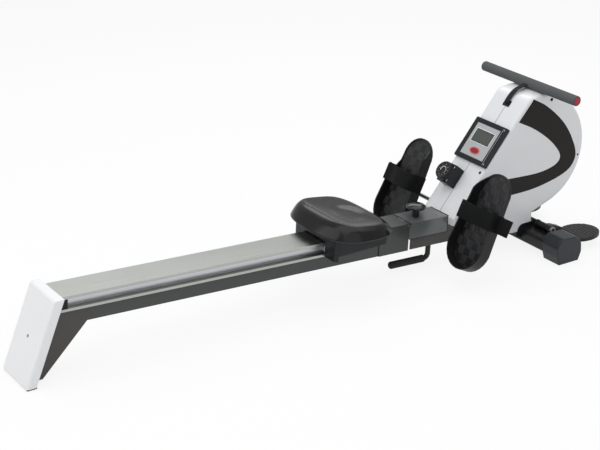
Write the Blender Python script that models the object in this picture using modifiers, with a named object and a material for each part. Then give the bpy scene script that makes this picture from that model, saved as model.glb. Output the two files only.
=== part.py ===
"""A folding magnetic rowing machine with a sliding seat, in metres, +Z up.

X runs from the rear leg to the flywheel casing, Y to the rower's left and Z up.
The origin is on the floor, under the middle of the machine's overall length.
BOOM is a working frame on the boom's top face at the fold, and FACE is one on the
casing's sloping front, at the foot of the perpendicular from the flywheel's axle.
"""

from math import acos, atan2, cos, hypot, pi, radians, sin, sqrt, tan

import bmesh
import bpy
from mathutils import Matrix, Vector

# Overall layout
OVERALL_LENGTH = 2.050
FRONT_REACH = 0.216  # flywheel's axle to the tips of the front foot plates
FLYWHEEL_Z = 0.330
FOLD_BEHIND_FLYWHEEL = 0.494
FOLD_TOP_Z = 0.1805
BOOM_SLOPE = radians(3.0)
GAP = 0.0003
SHEET = 0.003

# Boom: the front frame, its cover and the rail bracket share one section
BOOM_WIDTH = 0.092
BOOM_HEIGHT = 0.0913
COVER_DEPTH = 0.054
COVER_LENGTH = 0.154
HINGE_RADIUS = 0.0065
HINGE_PIN_RADIUS = 0.0035
HINGE_MIDDLE_HALF = 0.017
FOLD_SEAM = 0.0006
BRACKET_LENGTH = 0.115
TONGUE_DROP = 0.0365
TONGUE_THICKNESS = 0.008
TONGUE_HALF_WIDTH = 0.020
TONGUE_REACH = 0.083

# Fold knob and fold lever
KNOB_AHEAD = 0.057
KNOB_RADIUS = 0.032
KNOB_HEIGHT = 0.022
KNOB_STAND = 0.023
LOCK_PIN_RADIUS = 0.006
LEVER_AHEAD = 0.097
LEVER_SIDE = 0.026
LEVER_DROP = 0.049
LEVER_LENGTH = 0.153
LEVER_RADIUS = 0.0085

# Rail
RAIL_WIDTH = 0.109
RAIL_HEIGHT = 0.0463
RAIL_SKIN = 0.003
RAIL_WEB_HALF = 0.038
RAIL_TOP_LIP = 0.009
RAIL_LOW_LIP = 0.008
STOP_LENGTH = 0.022

# Rear leg
CAP_WIDTH = 0.166
CAP_LEAN = 0.101
CAP_DEPTH = 0.030
CAP_WALL = 0.003
CAP_ROUND = 0.007
CAP_PROUD = 0.006
PAD_THICKNESS = 0.0057
GUSSET_REACH = 0.122  # from the cap's front to the gusset's front corner
GUSSET_FOOT = 0.062
GUSSET_ROUND = 0.014

# Seat
SEAT_BEHIND_FOLD = 0.238
SEAT_LENGTH = 0.250
SEAT_WIDTH = 0.337
SEAT_RIM = 0.029
SEAT_CROWN = 0.041
CARRIAGE_WIDTH = 0.238
CARRIAGE_LENGTH = 0.198
CARRIAGE_AHEAD = 0.0056
CARRIAGE_DROP_REAR = 0.026
CARRIAGE_DROP_FRONT = 0.013
TAB_DROP = 0.045
TAB_LENGTH = 0.010
ROLLER_RADIUS = 0.018
ROLLER_WIDTH = 0.0105
ROLLER_SPACING = 0.140
STUD_RADIUS = 0.004
STUD_GAP = 0.0004

# Casing
CASING_RADIUS = 0.197
CASING_WIDTH = 0.160
CASING_WALL = 0.003
CASING_ROUND = 0.012
CASING_FOOT_Z = 0.066
FACE_SLOPE = radians(50.45)
FACE_DISTANCE = 0.161
TOE_REACH = 0.3405
TOE_FOOT_Z = 0.145
SLOT_UP = 0.076
SLOT_WIDTH = 0.029
SLOT_HEIGHT = 0.020

# Console
CONSOLE_DOWN = 0.0765
CONSOLE_LENGTH = 0.147
CONSOLE_WIDTH = 0.158
CONSOLE_THICKNESS = 0.008
PANEL_WIDTH = 0.112
PANEL_LENGTH = 0.114
PANEL_SIDE = 0.004
PANEL_RECESS = 0.0010
LENS_WIDTH = 0.086
LENS_LENGTH = 0.046
LENS_UP = 0.0155
BUTTON_LENGTH = 0.024
BUTTON_WIDTH = 0.038
BUTTON_DOWN = 0.0345
BUTTON_TRAVEL = 0.001

# Tension control
TENSION_DOWN = 0.219
TENSION_SIDE = 0.026
TENSION_BASE_LENGTH = 0.068
TENSION_BASE_WIDTH = 0.050
TENSION_BASE_HEIGHT = 0.042
TENSION_KNOB_RADIUS = 0.032
TENSION_KNOB_HEIGHT = 0.019
CABLE_RADIUS = 0.0025

# Drive inside the casing
CHEEK_LEFT = 0.018
CHEEK_RIGHT = -0.036
FLYWHEEL_RADIUS = 0.140
FLYWHEEL_WIDTH = 0.022
FLYWHEEL_SHAFT_RADIUS = 0.0075
BEARING_RADIUS = 0.016
SMALL_PULLEY_RADIUS = 0.018
BIG_PULLEY_RADIUS = 0.082
PULLEY_FLANGE = 0.003
BELT_THICKNESS = 0.002
BELT_WIDTH = 0.008
PULLEY_Y = -0.0235
DRUM_BEHIND = 0.089
DRUM_BELOW = 0.065
DRUM_CORE_RADIUS = 0.024
DRUM_FLANGE_RADIUS = 0.047
DRUM_AXLE_RADIUS = 0.006
WOUND_RADIUS = 0.044
MAGNET_GAP = 0.009
MAGNET_THICKNESS = 0.006
MAGNET_ANGLE = radians(200.0)
MAGNET_SWEEP = radians(45.0)
GUIDE_ROLLER_RADIUS = 0.012
GUIDE_INSET = 0.022

# Strap and handle
STRAP_WIDTH = 0.021
STRAP_THICKNESS = 0.0016
HANDLE_X_AHEAD = 0.015
HANDLE_RADIUS = 0.0165
HANDLE_LENGTH = 0.455
HANDLE_TUBE_RADIUS = 0.012
HANDLE_CAP_LENGTH = 0.008

# Pedals
PEDAL_SIDE = 0.198
PEDAL_TILT = radians(63.5)
PEDAL_BEHIND = 0.313
PEDAL_AXLE_Z = 0.1785
PEDAL_AXLE_RADIUS = 0.007
SOLE_RISE = 0.020
SOLE_THICKNESS = 0.006
TOE_LENGTH = 0.174
HEEL_LENGTH = 0.150
TOE_WIDTH = 0.134
HEEL_WIDTH = 0.160
PEDAL_WALL = 0.005
HEEL_WALL_HEIGHT = 0.033
TOE_WALL_HEIGHT = 0.003
PEDAL_STRAP_AHEAD = 0.029
PEDAL_STRAP_WIDTH = 0.050
PEDAL_STRAP_THICKNESS = 0.0024
PEDAL_STRAP_RISE = 0.058

# Front stabiliser and foot plates
STABILISER_LENGTH = 0.510
FOOT_LENGTH = 0.075
FOOT_WIDTH = 0.106
FOOT_HEIGHT = 0.090
TUBE_WIDTH = 0.104
TUBE_HEIGHT = 0.047
TUBE_LIFT = 0.025
TUBE_WALL = 0.0025
TUBE_AHEAD = 0.002
COLLAR_HEIGHT = 0.088
COLLAR_HALF_WIDTH = 0.076
STEP_PIN_AHEAD = 0.004
STEP_PIN_Z = 0.084
STEP_PIN_RADIUS = 0.006
WASHER_RADIUS = 0.0115
STEP_SIDE = 0.146
STEP_WIDTH = 0.124
STEP_LENGTH = 0.150
STEP_Z = 0.031
STEP_THICKNESS = 0.011
STEP_HUB_RADIUS = 0.013

# Places worked out from the sizes above
REAR_X = -OVERALL_LENGTH / 2
FLYWHEEL_X = OVERALL_LENGTH / 2 - FRONT_REACH
FOLD_X = FLYWHEEL_X - FOLD_BEHIND_FLYWHEEL
TUBE_HALF = BOOM_WIDTH / 2 - SHEET - GAP
RAIL_FRONT = -BRACKET_LENGTH - GAP
CAP_FRONT_X = REAR_X + CAP_LEAN + CAP_DEPTH
CHEEK_OUT = CHEEK_LEFT + SHEET
FLYWHEEL_Y = CHEEK_OUT + 0.0035
DRUM_X = FLYWHEEL_X - DRUM_BEHIND
DRUM_Z = FLYWHEEL_Z - DRUM_BELOW
PEDAL_X = FLYWHEEL_X - PEDAL_BEHIND
HANDLE_X = FLYWHEEL_X + HANDLE_X_AHEAD
CREST_Z = FLYWHEEL_Z + sqrt(CASING_RADIUS**2 - HANDLE_X_AHEAD**2)
HANDLE_Z = CREST_Z + HANDLE_RADIUS + GAP
STEP_PIN_X = FLYWHEEL_X + STEP_PIN_AHEAD
TUBE_REAR_X = FLYWHEEL_X + TUBE_AHEAD - TUBE_WIDTH / 2
COLLAR_REAR_X = FLYWHEEL_X - 0.072
FOOT_INNER_Y = STABILISER_LENGTH / 2 - FOOT_LENGTH

WORLD = Matrix.Identity(4)
BOOM = Matrix.Translation((FOLD_X, 0, FOLD_TOP_Z)) @ Matrix.Rotation(BOOM_SLOPE, 4, "Y")
FACE = (
    Matrix.Translation((FLYWHEEL_X, 0, FLYWHEEL_Z))
    @ Matrix.Rotation(-FACE_SLOPE, 4, "Y")
    @ Matrix.Translation((0, 0, FACE_DISTANCE))
)


def boom_u(x):
    """Distance along the boom of the point of its top line at this x."""
    return (x - FOLD_X) / cos(BOOM_SLOPE)


def boom_z(x, w=0.0):
    """World height of the boom's line that runs w above its top face."""
    return FOLD_TOP_Z - (x - FOLD_X) * tan(BOOM_SLOPE) + w / cos(BOOM_SLOPE)


def moved(frame, x=0.0, y=0.0, z=0.0):
    """The frame shifted along its own axes."""
    return frame @ Matrix.Translation((x, y, z))


def clear_scene():
    for obj in list(bpy.data.objects):
        bpy.data.objects.remove(obj)


def new_collection(name):
    made = bpy.data.collections.new(name)
    bpy.context.scene.collection.children.link(made)
    return made


def new_material(name, colour, roughness, metallic=0.0):
    made = bpy.data.materials.new(name)
    made.use_nodes = True
    shader = made.node_tree.nodes["Principled BSDF"]
    shader.inputs["Base Color"].default_value = (*colour, 1.0)
    shader.inputs["Roughness"].default_value = roughness
    shader.inputs["Metallic"].default_value = metallic
    made.diffuse_color = (*colour, 1.0)
    return made


clear_scene()
PARTS = new_collection("rowing_machine")
TOOLS = new_collection("cutters_and_joined_shapes")

WHITE = new_material("white_plastic", (0.86, 0.87, 0.88), 0.35)
BLACK = new_material("black_plastic", (0.030, 0.030, 0.032), 0.50)
GREY = new_material("grey_plastic", (0.15, 0.16, 0.17), 0.45)
STEEL = new_material("painted_steel", (0.075, 0.080, 0.082), 0.38, 0.3)
BARE_STEEL = new_material("bare_steel", (0.55, 0.55, 0.56), 0.30, 1.0)
ALUMINIUM = new_material("aluminium", (0.62, 0.63, 0.62), 0.35, 1.0)
RUBBER = new_material("rubber", (0.035, 0.035, 0.036), 0.80)
FOAM = new_material("foam", (0.13, 0.14, 0.14), 0.90)
SEAT_SKIN = new_material("seat_skin", (0.028, 0.028, 0.028), 0.42)
WEBBING = new_material("webbing", (0.040, 0.042, 0.045), 0.85)
SILVER = new_material("silver_plastic", (0.58, 0.58, 0.58), 0.40)
LENS = new_material("display_lens", (0.22, 0.25, 0.24), 0.15)
RED = new_material("red_plastic", (0.60, 0.03, 0.035), 0.40)
BOARD = new_material("circuit_board", (0.03, 0.20, 0.06), 0.60)


def place(name, mesh, frame, finish):
    obj = bpy.data.objects.new(name, mesh)
    PARTS.objects.link(obj)
    obj.matrix_world = frame
    mesh.materials.append(finish)
    return obj


def smooth(obj, angle=radians(40)):
    """Rounds the shading, and keeps edges sharper than the angle."""
    obj.data.shade_smooth()
    obj.data.set_sharp_from_angle(angle=angle)
    return obj


def from_bmesh(name, shape, frame, finish):
    mesh = bpy.data.meshes.new(name)
    shape.to_mesh(mesh)
    shape.free()
    return place(name, mesh, frame, finish)


def block(name, finish, frame, low, high):
    """A box between two opposite corners in the frame."""
    low, high = Vector(low), Vector(high)
    shape = bmesh.new()
    bmesh.ops.create_cube(shape, size=1.0)
    bmesh.ops.scale(shape, vec=high - low, verts=shape.verts)
    bmesh.ops.translate(shape, vec=(high + low) / 2, verts=shape.verts)
    return from_bmesh(name, shape, frame, finish)


def rod(name, finish, frame, start, end, radius, sides=24):
    """A cylinder from start to end in the frame."""
    start, end = Vector(start), Vector(end)
    run = end - start
    shape = bmesh.new()
    bmesh.ops.create_cone(
        shape, cap_ends=True, segments=sides, radius1=radius, radius2=radius, depth=run.length
    )
    turn = Vector((0, 0, 1)).rotation_difference(run).to_matrix()
    bmesh.ops.rotate(shape, matrix=turn, verts=shape.verts)
    bmesh.ops.translate(shape, vec=(start + end) / 2, verts=shape.verts)
    return smooth(from_bmesh(name, shape, frame, finish))


def turned(name, finish, frame, profile, steps=32, ring=False, along="Y"):
    """A profile of (radius, place along the axis), outer side first from its high end, swept round."""
    points = [(radius, 0.0, place_on_axis) for radius, place_on_axis in profile]
    edges = [(i, i + 1) for i in range(len(points) - 1)]
    if ring:
        edges.append((len(points) - 1, 0))
    mesh = bpy.data.meshes.new(name)
    mesh.from_pydata(points, edges, [])
    turn = Matrix.Rotation(-pi / 2, 4, "X") if along == "Y" else Matrix.Identity(4)
    obj = place(name, mesh, frame @ turn, finish)
    screw = obj.modifiers.new("turn", "SCREW")
    screw.axis = "Z"
    screw.steps = steps
    screw.render_steps = steps
    screw.use_merge_vertices = True
    screw.merge_threshold = 0.00001
    screw.use_smooth_shade = True
    return obj


ACROSS = {
    "X": Matrix(((0, 0, 1, 0), (1, 0, 0, 0), (0, 1, 0, 0), (0, 0, 0, 1))),
    "Y": Matrix(((1, 0, 0, 0), (0, 0, -1, 0), (0, 1, 0, 0), (0, 0, 0, 1))),
    "Z": Matrix.Identity(4),
}


def curve_mesh(curve, name):
    """The mesh of a curve, its caps welded to its sides."""
    helper = bpy.data.objects.new(name, curve)
    bpy.context.scene.collection.objects.link(helper)
    bpy.context.view_layer.update()
    graph = bpy.context.evaluated_depsgraph_get()
    mesh = bpy.data.meshes.new_from_object(helper.evaluated_get(graph))
    bpy.data.objects.remove(helper)
    shape = bmesh.new()
    shape.from_mesh(mesh)
    bmesh.ops.remove_doubles(shape, verts=shape.verts, dist=0.00001)
    return mesh, shape


def slab(name, finish, frame, outline, low, high, across="Y", holes=()):
    """An outline extruded from low to high along an axis of the frame, the outline in the other two."""
    curve = bpy.data.curves.new(name, "CURVE")
    curve.dimensions = "2D"
    curve.fill_mode = "BOTH"
    curve.extrude = (high - low) / 2
    for points in (outline, *holes):
        spline = curve.splines.new("POLY")
        spline.points.add(len(points) - 1)
        for point, (a, b) in zip(spline.points, points):
            point.co = (a, b, 0, 1)
        spline.use_cyclic_u = True
    mesh, shape = curve_mesh(curve, name)
    middle = (high + low) / 2 * (-1 if across == "Y" else 1)
    bmesh.ops.translate(shape, vec=(0, 0, middle), verts=shape.verts)
    bmesh.ops.transform(shape, matrix=ACROSS[across], verts=shape.verts)
    if not holes:
        bmesh.ops.dissolve_limit(
            shape, angle_limit=radians(0.5), verts=shape.verts, edges=shape.edges
        )
    bmesh.ops.recalc_face_normals(shape, faces=shape.faces)
    shape.to_mesh(mesh)
    shape.free()
    mesh.materials.clear()
    return place(name, mesh, frame, finish)


def tube_along(name, finish, frame, points, radius, sides=4):
    """A round tube along a line of points, as a curve with filled caps, made a mesh."""
    curve = bpy.data.curves.new(name, "CURVE")
    curve.dimensions = "3D"
    curve.bevel_depth = radius
    curve.bevel_resolution = sides // 2
    curve.use_fill_caps = True
    spline = curve.splines.new("POLY")
    spline.points.add(len(points) - 1)
    for point, co in zip(spline.points, points):
        point.co = (*co, 1)
    mesh, shape = curve_mesh(curve, name)
    bmesh.ops.recalc_face_normals(shape, faces=shape.faces)
    shape.to_mesh(mesh)
    shape.free()
    mesh.materials.clear()
    return smooth(place(name, mesh, frame, finish))


def arc(centre, radius, start, end, steps):
    """Points round a centre from one angle to another, both ends included."""
    turn = (end - start) / steps
    return [
        (centre[0] + radius * cos(start + i * turn), centre[1] + radius * sin(start + i * turn))
        for i in range(steps + 1)
    ]


def rounded(corners, steps=4):
    """A polygon of (a, b, radius) corners with each corner replaced by an arc."""
    points = []
    for i, (a, b, radius) in enumerate(corners):
        if radius <= 0:
            points.append((a, b))
            continue
        here = Vector((a, b))
        back = (Vector(corners[i - 1][:2]) - here).normalized()
        ahead = (Vector(corners[(i + 1) % len(corners)][:2]) - here).normalized()
        half = acos(max(-1.0, min(1.0, back.dot(ahead)))) / 2
        centre = here + (back + ahead).normalized() * radius / sin(half)
        first = here + back * radius / tan(half) - centre
        last = here + ahead * radius / tan(half) - centre
        start = atan2(first.y, first.x)
        sweep = (atan2(last.y, last.x) - start + pi) % (2 * pi) - pi
        points += arc(centre, radius, start, start + sweep, steps)
    return points


def ribbon(path, thickness):
    """The outline of a strip of even thickness along a path."""
    sides = ([], [])
    for i, point in enumerate(path):
        before, after = path[max(i - 1, 0)], path[min(i + 1, len(path) - 1)]
        run = hypot(after[0] - before[0], after[1] - before[1])
        across = (-(after[1] - before[1]) / run, (after[0] - before[0]) / run)
        for side, sign in zip(sides, (0.5, -0.5)):
            side.append((point[0] + sign * thickness * across[0], point[1] + sign * thickness * across[1]))
    return sides[0] + sides[1][::-1]


def smooth_path(points, steps=5):
    """A curve through the points, by Catmull and Rom's rule."""
    ends = [points[0], *points, points[-1]]
    path = []
    for p0, p1, p2, p3 in zip(ends, ends[1:], ends[2:], ends[3:]):
        for i in range(steps):
            t = i / steps
            weights = (2 * t**2 - t - t**3, 2 - 5 * t**2 + 3 * t**3, t + 4 * t**2 - 3 * t**3, t**3 - t**2)
            corners = zip(p0, p1, p2, p3)
            path.append(tuple(0.5 * sum(w * v for w, v in zip(weights, values)) for values in corners))
    return [*path, points[-1]]


def use_as_tool(tool):
    PARTS.objects.unlink(tool)
    TOOLS.objects.link(tool)
    tool.hide_render = True
    tool.display_type = "WIRE"


def boolean(target, tool, operation):
    use_as_tool(tool)
    modifier = target.modifiers.new(tool.name, "BOOLEAN")
    modifier.operation = operation
    modifier.solver = "EXACT"
    modifier.object = tool
    return target


def cut(target, tool):
    return boolean(target, tool, "DIFFERENCE")


def weld(target, tool):
    return boolean(target, tool, "UNION")


def bevel_edges(obj, chosen, width, segments):
    """Rounds the edges of the mesh whose two ends both pass the test."""
    shape = bmesh.new()
    shape.from_mesh(obj.data)
    edges = [edge for edge in shape.edges if all(chosen(vert.co) for vert in edge.verts)]
    bmesh.ops.bevel(
        shape, geom=edges, offset=width, segments=segments, profile=0.5, affect="EDGES", clamp_overlap=True
    )
    shape.to_mesh(obj.data)
    shape.free()
    return obj


def joint_empty(name, frame):
    """An empty on a joint's axis, for the pieces that move with it."""
    empty = bpy.data.objects.new(name, None)
    empty.empty_display_size = 0.04
    PARTS.objects.link(empty)
    empty.matrix_world = frame
    return empty


def carry(parent, *pieces):
    """Hangs pieces on a parent and leaves them where they are."""
    bpy.context.view_layer.update()
    for piece in pieces:
        piece.parent = parent
        piece.matrix_parent_inverse = parent.matrix_world.inverted()


# Front frame and fold


def hinge_barrel(name, low, high, radius=HINGE_RADIUS):
    return rod(name, STEEL, BOOM, (0, low, -HINGE_RADIUS), (0, high, -HINGE_RADIUS), radius)


def box_section(half_width, top, bottom, wall):
    """Outer and inner outlines of a rectangular tube, across the boom."""
    outer = [(-half_width, bottom), (half_width, bottom), (half_width, top), (-half_width, top)]
    inner_half = half_width - wall
    inner = [
        (-inner_half, bottom + wall),
        (inner_half, bottom + wall),
        (inner_half, top - wall),
        (-inner_half, top - wall),
    ]
    return outer, inner


def channel_section(width, depth, wall, top=0.0):
    """Outline of a channel open at the bottom, across the boom."""
    outer, inner = width / 2, width / 2 - wall
    return [
        (-outer, top),
        (-outer, top - depth),
        (-inner, top - depth),
        (-inner, top - wall),
        (inner, top - wall),
        (inner, top - depth),
        (outer, top - depth),
        (outer, top),
    ]


def cheek_outline():
    """Side plate that carries the axles: up from the main tube, round each axle."""
    roller = guide_roller_centre()
    foot_z = lambda x: boom_z(x, -SHEET - GAP - 0.0015)
    rear, front = FLYWHEEL_X - 0.232, FLYWHEEL_X - 0.084
    return rounded(
        [
            (rear, foot_z(rear), 0),
            (front, foot_z(front), 0),
            (FLYWHEEL_X + 0.020, FLYWHEEL_Z - 0.022, 0.018),
            (FLYWHEEL_X + 0.018, FLYWHEEL_Z + 0.022, 0.018),
            (roller[0] + 0.011, roller[1] + 0.003, 0.008),
            (roller[0] - 0.008, roller[1] + 0.011, 0.008),
        ]
    )


def guide_roller_centre():
    """World x and z of the strap's guide roller, under the slot."""
    at = FACE @ Vector((SLOT_UP - 0.006, 0, -GUIDE_INSET))
    return at.x, at.z


def magnet_pivot():
    """World x and z of the magnet bracket's pivot, just outside the flywheel's rim."""
    radius = FLYWHEEL_RADIUS + MAGNET_GAP + MAGNET_THICKNESS / 2
    return FLYWHEEL_X + radius * cos(MAGNET_ANGLE), FLYWHEEL_Z + radius * sin(MAGNET_ANGLE)


def make_front_frame():
    start = HINGE_RADIUS + 0.0035
    end = boom_u(COLLAR_REAR_X) + 0.02
    top = -SHEET - GAP
    outer, inner = box_section(TUBE_HALF, top, -BOOM_HEIGHT, SHEET)
    frame = slab("front_frame", STEEL, BOOM, outer, start, end, "X", [inner])
    far = COLLAR_REAR_X - GAP
    cut(frame, block("frame_end_cut", STEEL, WORLD, (far, -0.06, 0), (far + 0.06, 0.06, 0.25)))
    mouth = KNOB_AHEAD + 0.003
    inside = TUBE_HALF - SHEET
    cut(
        frame,
        block(
            "frame_mouth_cut",
            STEEL,
            BOOM,
            (start - 0.01, -inside, -BOOM_HEIGHT - 0.01),
            (mouth, inside, -BOOM_HEIGHT + SHEET + 0.001),
        ),
    )
    leaf = block(
        "frame_leaf",
        STEEL,
        BOOM,
        (0, -HINGE_MIDDLE_HALF, -HINGE_RADIUS),
        (start + 0.01, HINGE_MIDDLE_HALF, top),
    )
    weld(frame, leaf)
    weld(frame, hinge_barrel("frame_barrel", -HINGE_MIDDLE_HALF, HINGE_MIDDLE_HALF))
    pin_hole = HINGE_PIN_RADIUS + GAP
    cut(frame, hinge_barrel("frame_pin_hole", -0.05, 0.05, pin_hole))
    outline = cheek_outline()
    for side, low in (("left", CHEEK_LEFT), ("right", CHEEK_RIGHT)):
        weld(frame, slab(f"cheek_{side}", STEEL, WORLD, outline, low, low + SHEET))
        bearing = FLYWHEEL_X, FLYWHEEL_Z, low - 0.01, low + 0.013, BEARING_RADIUS + GAP
        cut(frame, world_rod(f"bearing_hole_{side}", *bearing))
    axle_hole = DRUM_AXLE_RADIUS + GAP
    cut(frame, world_rod("drum_axle_hole", DRUM_X, DRUM_Z, -0.06, 0.06, axle_hole))
    roller = guide_roller_centre()
    weld(frame, world_rod("roller_pin", *roller, CHEEK_RIGHT + 0.0012, CHEEK_OUT - 0.0012, 0.004, sides=16))
    pivot = magnet_pivot()
    stud_end = FLYWHEEL_Y + FLYWHEEL_WIDTH
    weld(frame, world_rod("magnet_stud", *pivot, CHEEK_LEFT + 0.0014, stud_end, 0.005, sides=20))
    boss_half = TUBE_HALF - 0.0015
    boss = world_rod("axle_boss", PEDAL_X, PEDAL_AXLE_Z, -boss_half, boss_half, 0.011)
    weld(frame, boss)
    saddle = (
        (PEDAL_X - 0.009, -boss_half + 0.001, boom_z(PEDAL_X) - 0.006),
        (PEDAL_X + 0.009, boss_half - 0.001, PEDAL_AXLE_Z),
    )
    weld(frame, block("axle_saddle", STEEL, WORLD, *saddle))
    cut(frame, world_rod("axle_hole", PEDAL_X, PEDAL_AXLE_Z, -0.06, 0.06, PEDAL_AXLE_RADIUS + GAP))
    knob_hole = (KNOB_AHEAD, 0, -0.012), (KNOB_AHEAD, 0, 0.01)
    cut(frame, rod("knob_hole", STEEL, BOOM, *knob_hole, LOCK_PIN_RADIUS + GAP))
    lever = (LEVER_AHEAD, -LEVER_SIDE)
    bottom = -BOOM_HEIGHT
    lever_hole = (*lever, bottom - 0.01), (*lever, bottom + 0.01)
    cut(frame, rod("lever_hole", STEEL, BOOM, *lever_hole, LEVER_RADIUS + GAP))
    return frame


def world_rod(name, x, z, low, high, radius, finish=STEEL, sides=24):
    """A rod along Y between two places, at a world x and z."""
    return rod(name, finish, WORLD, (x, low, z), (x, high, z), radius, sides)


def make_frame_cover():
    section = channel_section(BOOM_WIDTH, COVER_DEPTH, SHEET)
    cover = slab("frame_cover", STEEL, BOOM, section, FOLD_SEAM, FOLD_SEAM + COVER_LENGTH, "X")
    clearance = HINGE_RADIUS + 0.0004
    cut(cover, hinge_barrel("cover_barrel_cut", -0.05, 0.05, clearance))
    swing = (-0.01, -0.05, -HINGE_RADIUS - 0.0005), (clearance, 0.05, 0.01)
    cut(cover, block("cover_swing_cut", STEEL, BOOM, *swing))
    knob_hole = (KNOB_AHEAD, 0, -0.012), (KNOB_AHEAD, 0, 0.01)
    return cut(cover, rod("cover_knob_hole", STEEL, BOOM, *knob_hole, LOCK_PIN_RADIUS + GAP))


def make_rail_bracket():
    section = channel_section(BOOM_WIDTH, BOOM_HEIGHT, SHEET)
    bracket = slab("rail_bracket", STEEL, BOOM, section, -BRACKET_LENGTH, -FOLD_SEAM, "X")
    middle = HINGE_MIDDLE_HALF + GAP
    reach = HINGE_RADIUS + 0.0004
    knuckle_cut = (-reach, -middle, -2 * HINGE_RADIUS), (0.02, middle, 0.01)
    for side, sign in (("left", 1), ("right", -1)):
        barrel = hinge_barrel(f"bracket_barrel_{side}", sign * middle, sign * BOOM_WIDTH / 2)
        weld(bracket, barrel)
    cut(bracket, block("knuckle_cut", STEEL, BOOM, *knuckle_cut))
    cut(bracket, hinge_barrel("bracket_pin_hole", -0.06, 0.06, HINGE_PIN_RADIUS + GAP))
    tongue_low, tongue_top = -TONGUE_DROP - TONGUE_THICKNESS, -TONGUE_DROP
    cross = (-0.060, -BOOM_WIDTH / 2 + 0.001, tongue_low), (-0.030, BOOM_WIDTH / 2 - 0.001, tongue_top)
    weld(bracket, block("tongue_cross", STEEL, BOOM, *cross))
    tongue = (-0.050, -TONGUE_HALF_WIDTH, tongue_low), (TONGUE_REACH, TONGUE_HALF_WIDTH, tongue_top)
    return weld(bracket, block("tongue", STEEL, BOOM, *tongue))


def make_fold_pin():
    half = BOOM_WIDTH / 2
    return hinge_barrel("fold_pin", -half, half, HINGE_PIN_RADIUS)


def make_fold_knob():
    """A mushroom knob on a pull pin that stops just above the tongue."""
    frame = moved(BOOM, x=KNOB_AHEAD)
    head_low, head_top = KNOB_STAND, KNOB_STAND + KNOB_HEIGHT
    tip = -TONGUE_DROP + GAP
    profile = [
        (0, head_top),
        (0.60 * KNOB_RADIUS, head_top - 0.0010),
        (0.86 * KNOB_RADIUS, head_top - 0.0045),
        (KNOB_RADIUS, head_top - 0.0110),
        (0.92 * KNOB_RADIUS, head_low + 0.0045),
        (0.70 * KNOB_RADIUS, head_low),
        (0.012, head_low),
        (0.012, GAP),
        (LOCK_PIN_RADIUS, GAP),
        (LOCK_PIN_RADIUS, tip),
        (0, tip),
    ]
    return turned("fold_knob", BLACK, frame, profile, 28, along="Z")


def make_fold_lever():
    """A bent bar that hangs from its head inside the main tube and runs back under the boom."""
    frame = moved(BOOM, LEVER_AHEAD, -LEVER_SIDE, -BOOM_HEIGHT)
    bend = 0.014
    corner = arc((-bend, -LEVER_DROP + bend), bend, 0, -pi / 2, 5)
    points = [(0, 0, SHEET + 0.004)]
    points += [(a, 0, b) for a, b in corner]
    points.append((-LEVER_LENGTH, 0, -LEVER_DROP))
    lever = tube_along("fold_lever", BLACK, frame, points, LEVER_RADIUS, 6)
    head = (0, 0, SHEET + GAP), (0, 0, SHEET + 0.0065)
    return weld(lever, rod("lever_head", BLACK, frame, *head, 0.012))


# Rail and rear leg


def rail_section():
    """Half of the extrusion's outline, then its mirror: top skin, web, lower flange, each with a lip."""
    half = RAIL_WIDTH / 2
    lip = half - RAIL_SKIN
    low = -RAIL_HEIGHT
    right = [
        (half, 0),
        (half, -RAIL_TOP_LIP),
        (lip, -RAIL_TOP_LIP),
        (lip, -RAIL_SKIN),
        (RAIL_WEB_HALF, -RAIL_SKIN),
        (RAIL_WEB_HALF, low + RAIL_SKIN),
        (lip, low + RAIL_SKIN),
        (lip, low + RAIL_LOW_LIP),
        (half, low + RAIL_LOW_LIP),
        (half, low),
    ]
    left = [(-y, w) for y, w in reversed(right)]
    web = RAIL_WEB_HALF - RAIL_SKIN
    hollow = [(-web, low + RAIL_SKIN), (web, low + RAIL_SKIN), (web, -RAIL_SKIN), (-web, -RAIL_SKIN)]
    return right + left, hollow


def rail_rear():
    """Distance along the boom of the rail's rear end, inside the cap."""
    return boom_u(CAP_FRONT_X) - 0.018


def make_rail():
    outline, hollow = rail_section()
    return slab("rail", ALUMINIUM, BOOM, outline, rail_rear(), RAIL_FRONT, "X", [hollow])


def make_rail_beam():
    outer, inner = box_section(TUBE_HALF, -RAIL_HEIGHT - GAP, -BOOM_HEIGHT, SHEET)
    return slab("rail_beam", STEEL, BOOM, outer, rail_rear() + 0.004, -0.020, "X", [inner])


def cap_face_x(z):
    """World x of the cap's sloping outer face at a height."""
    return REAR_X + CAP_LEAN * (z - PAD_THICKNESS) / (cap_top_z() - PAD_THICKNESS)


def cap_top_z():
    return boom_z(CAP_FRONT_X) + CAP_PROUD


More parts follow.
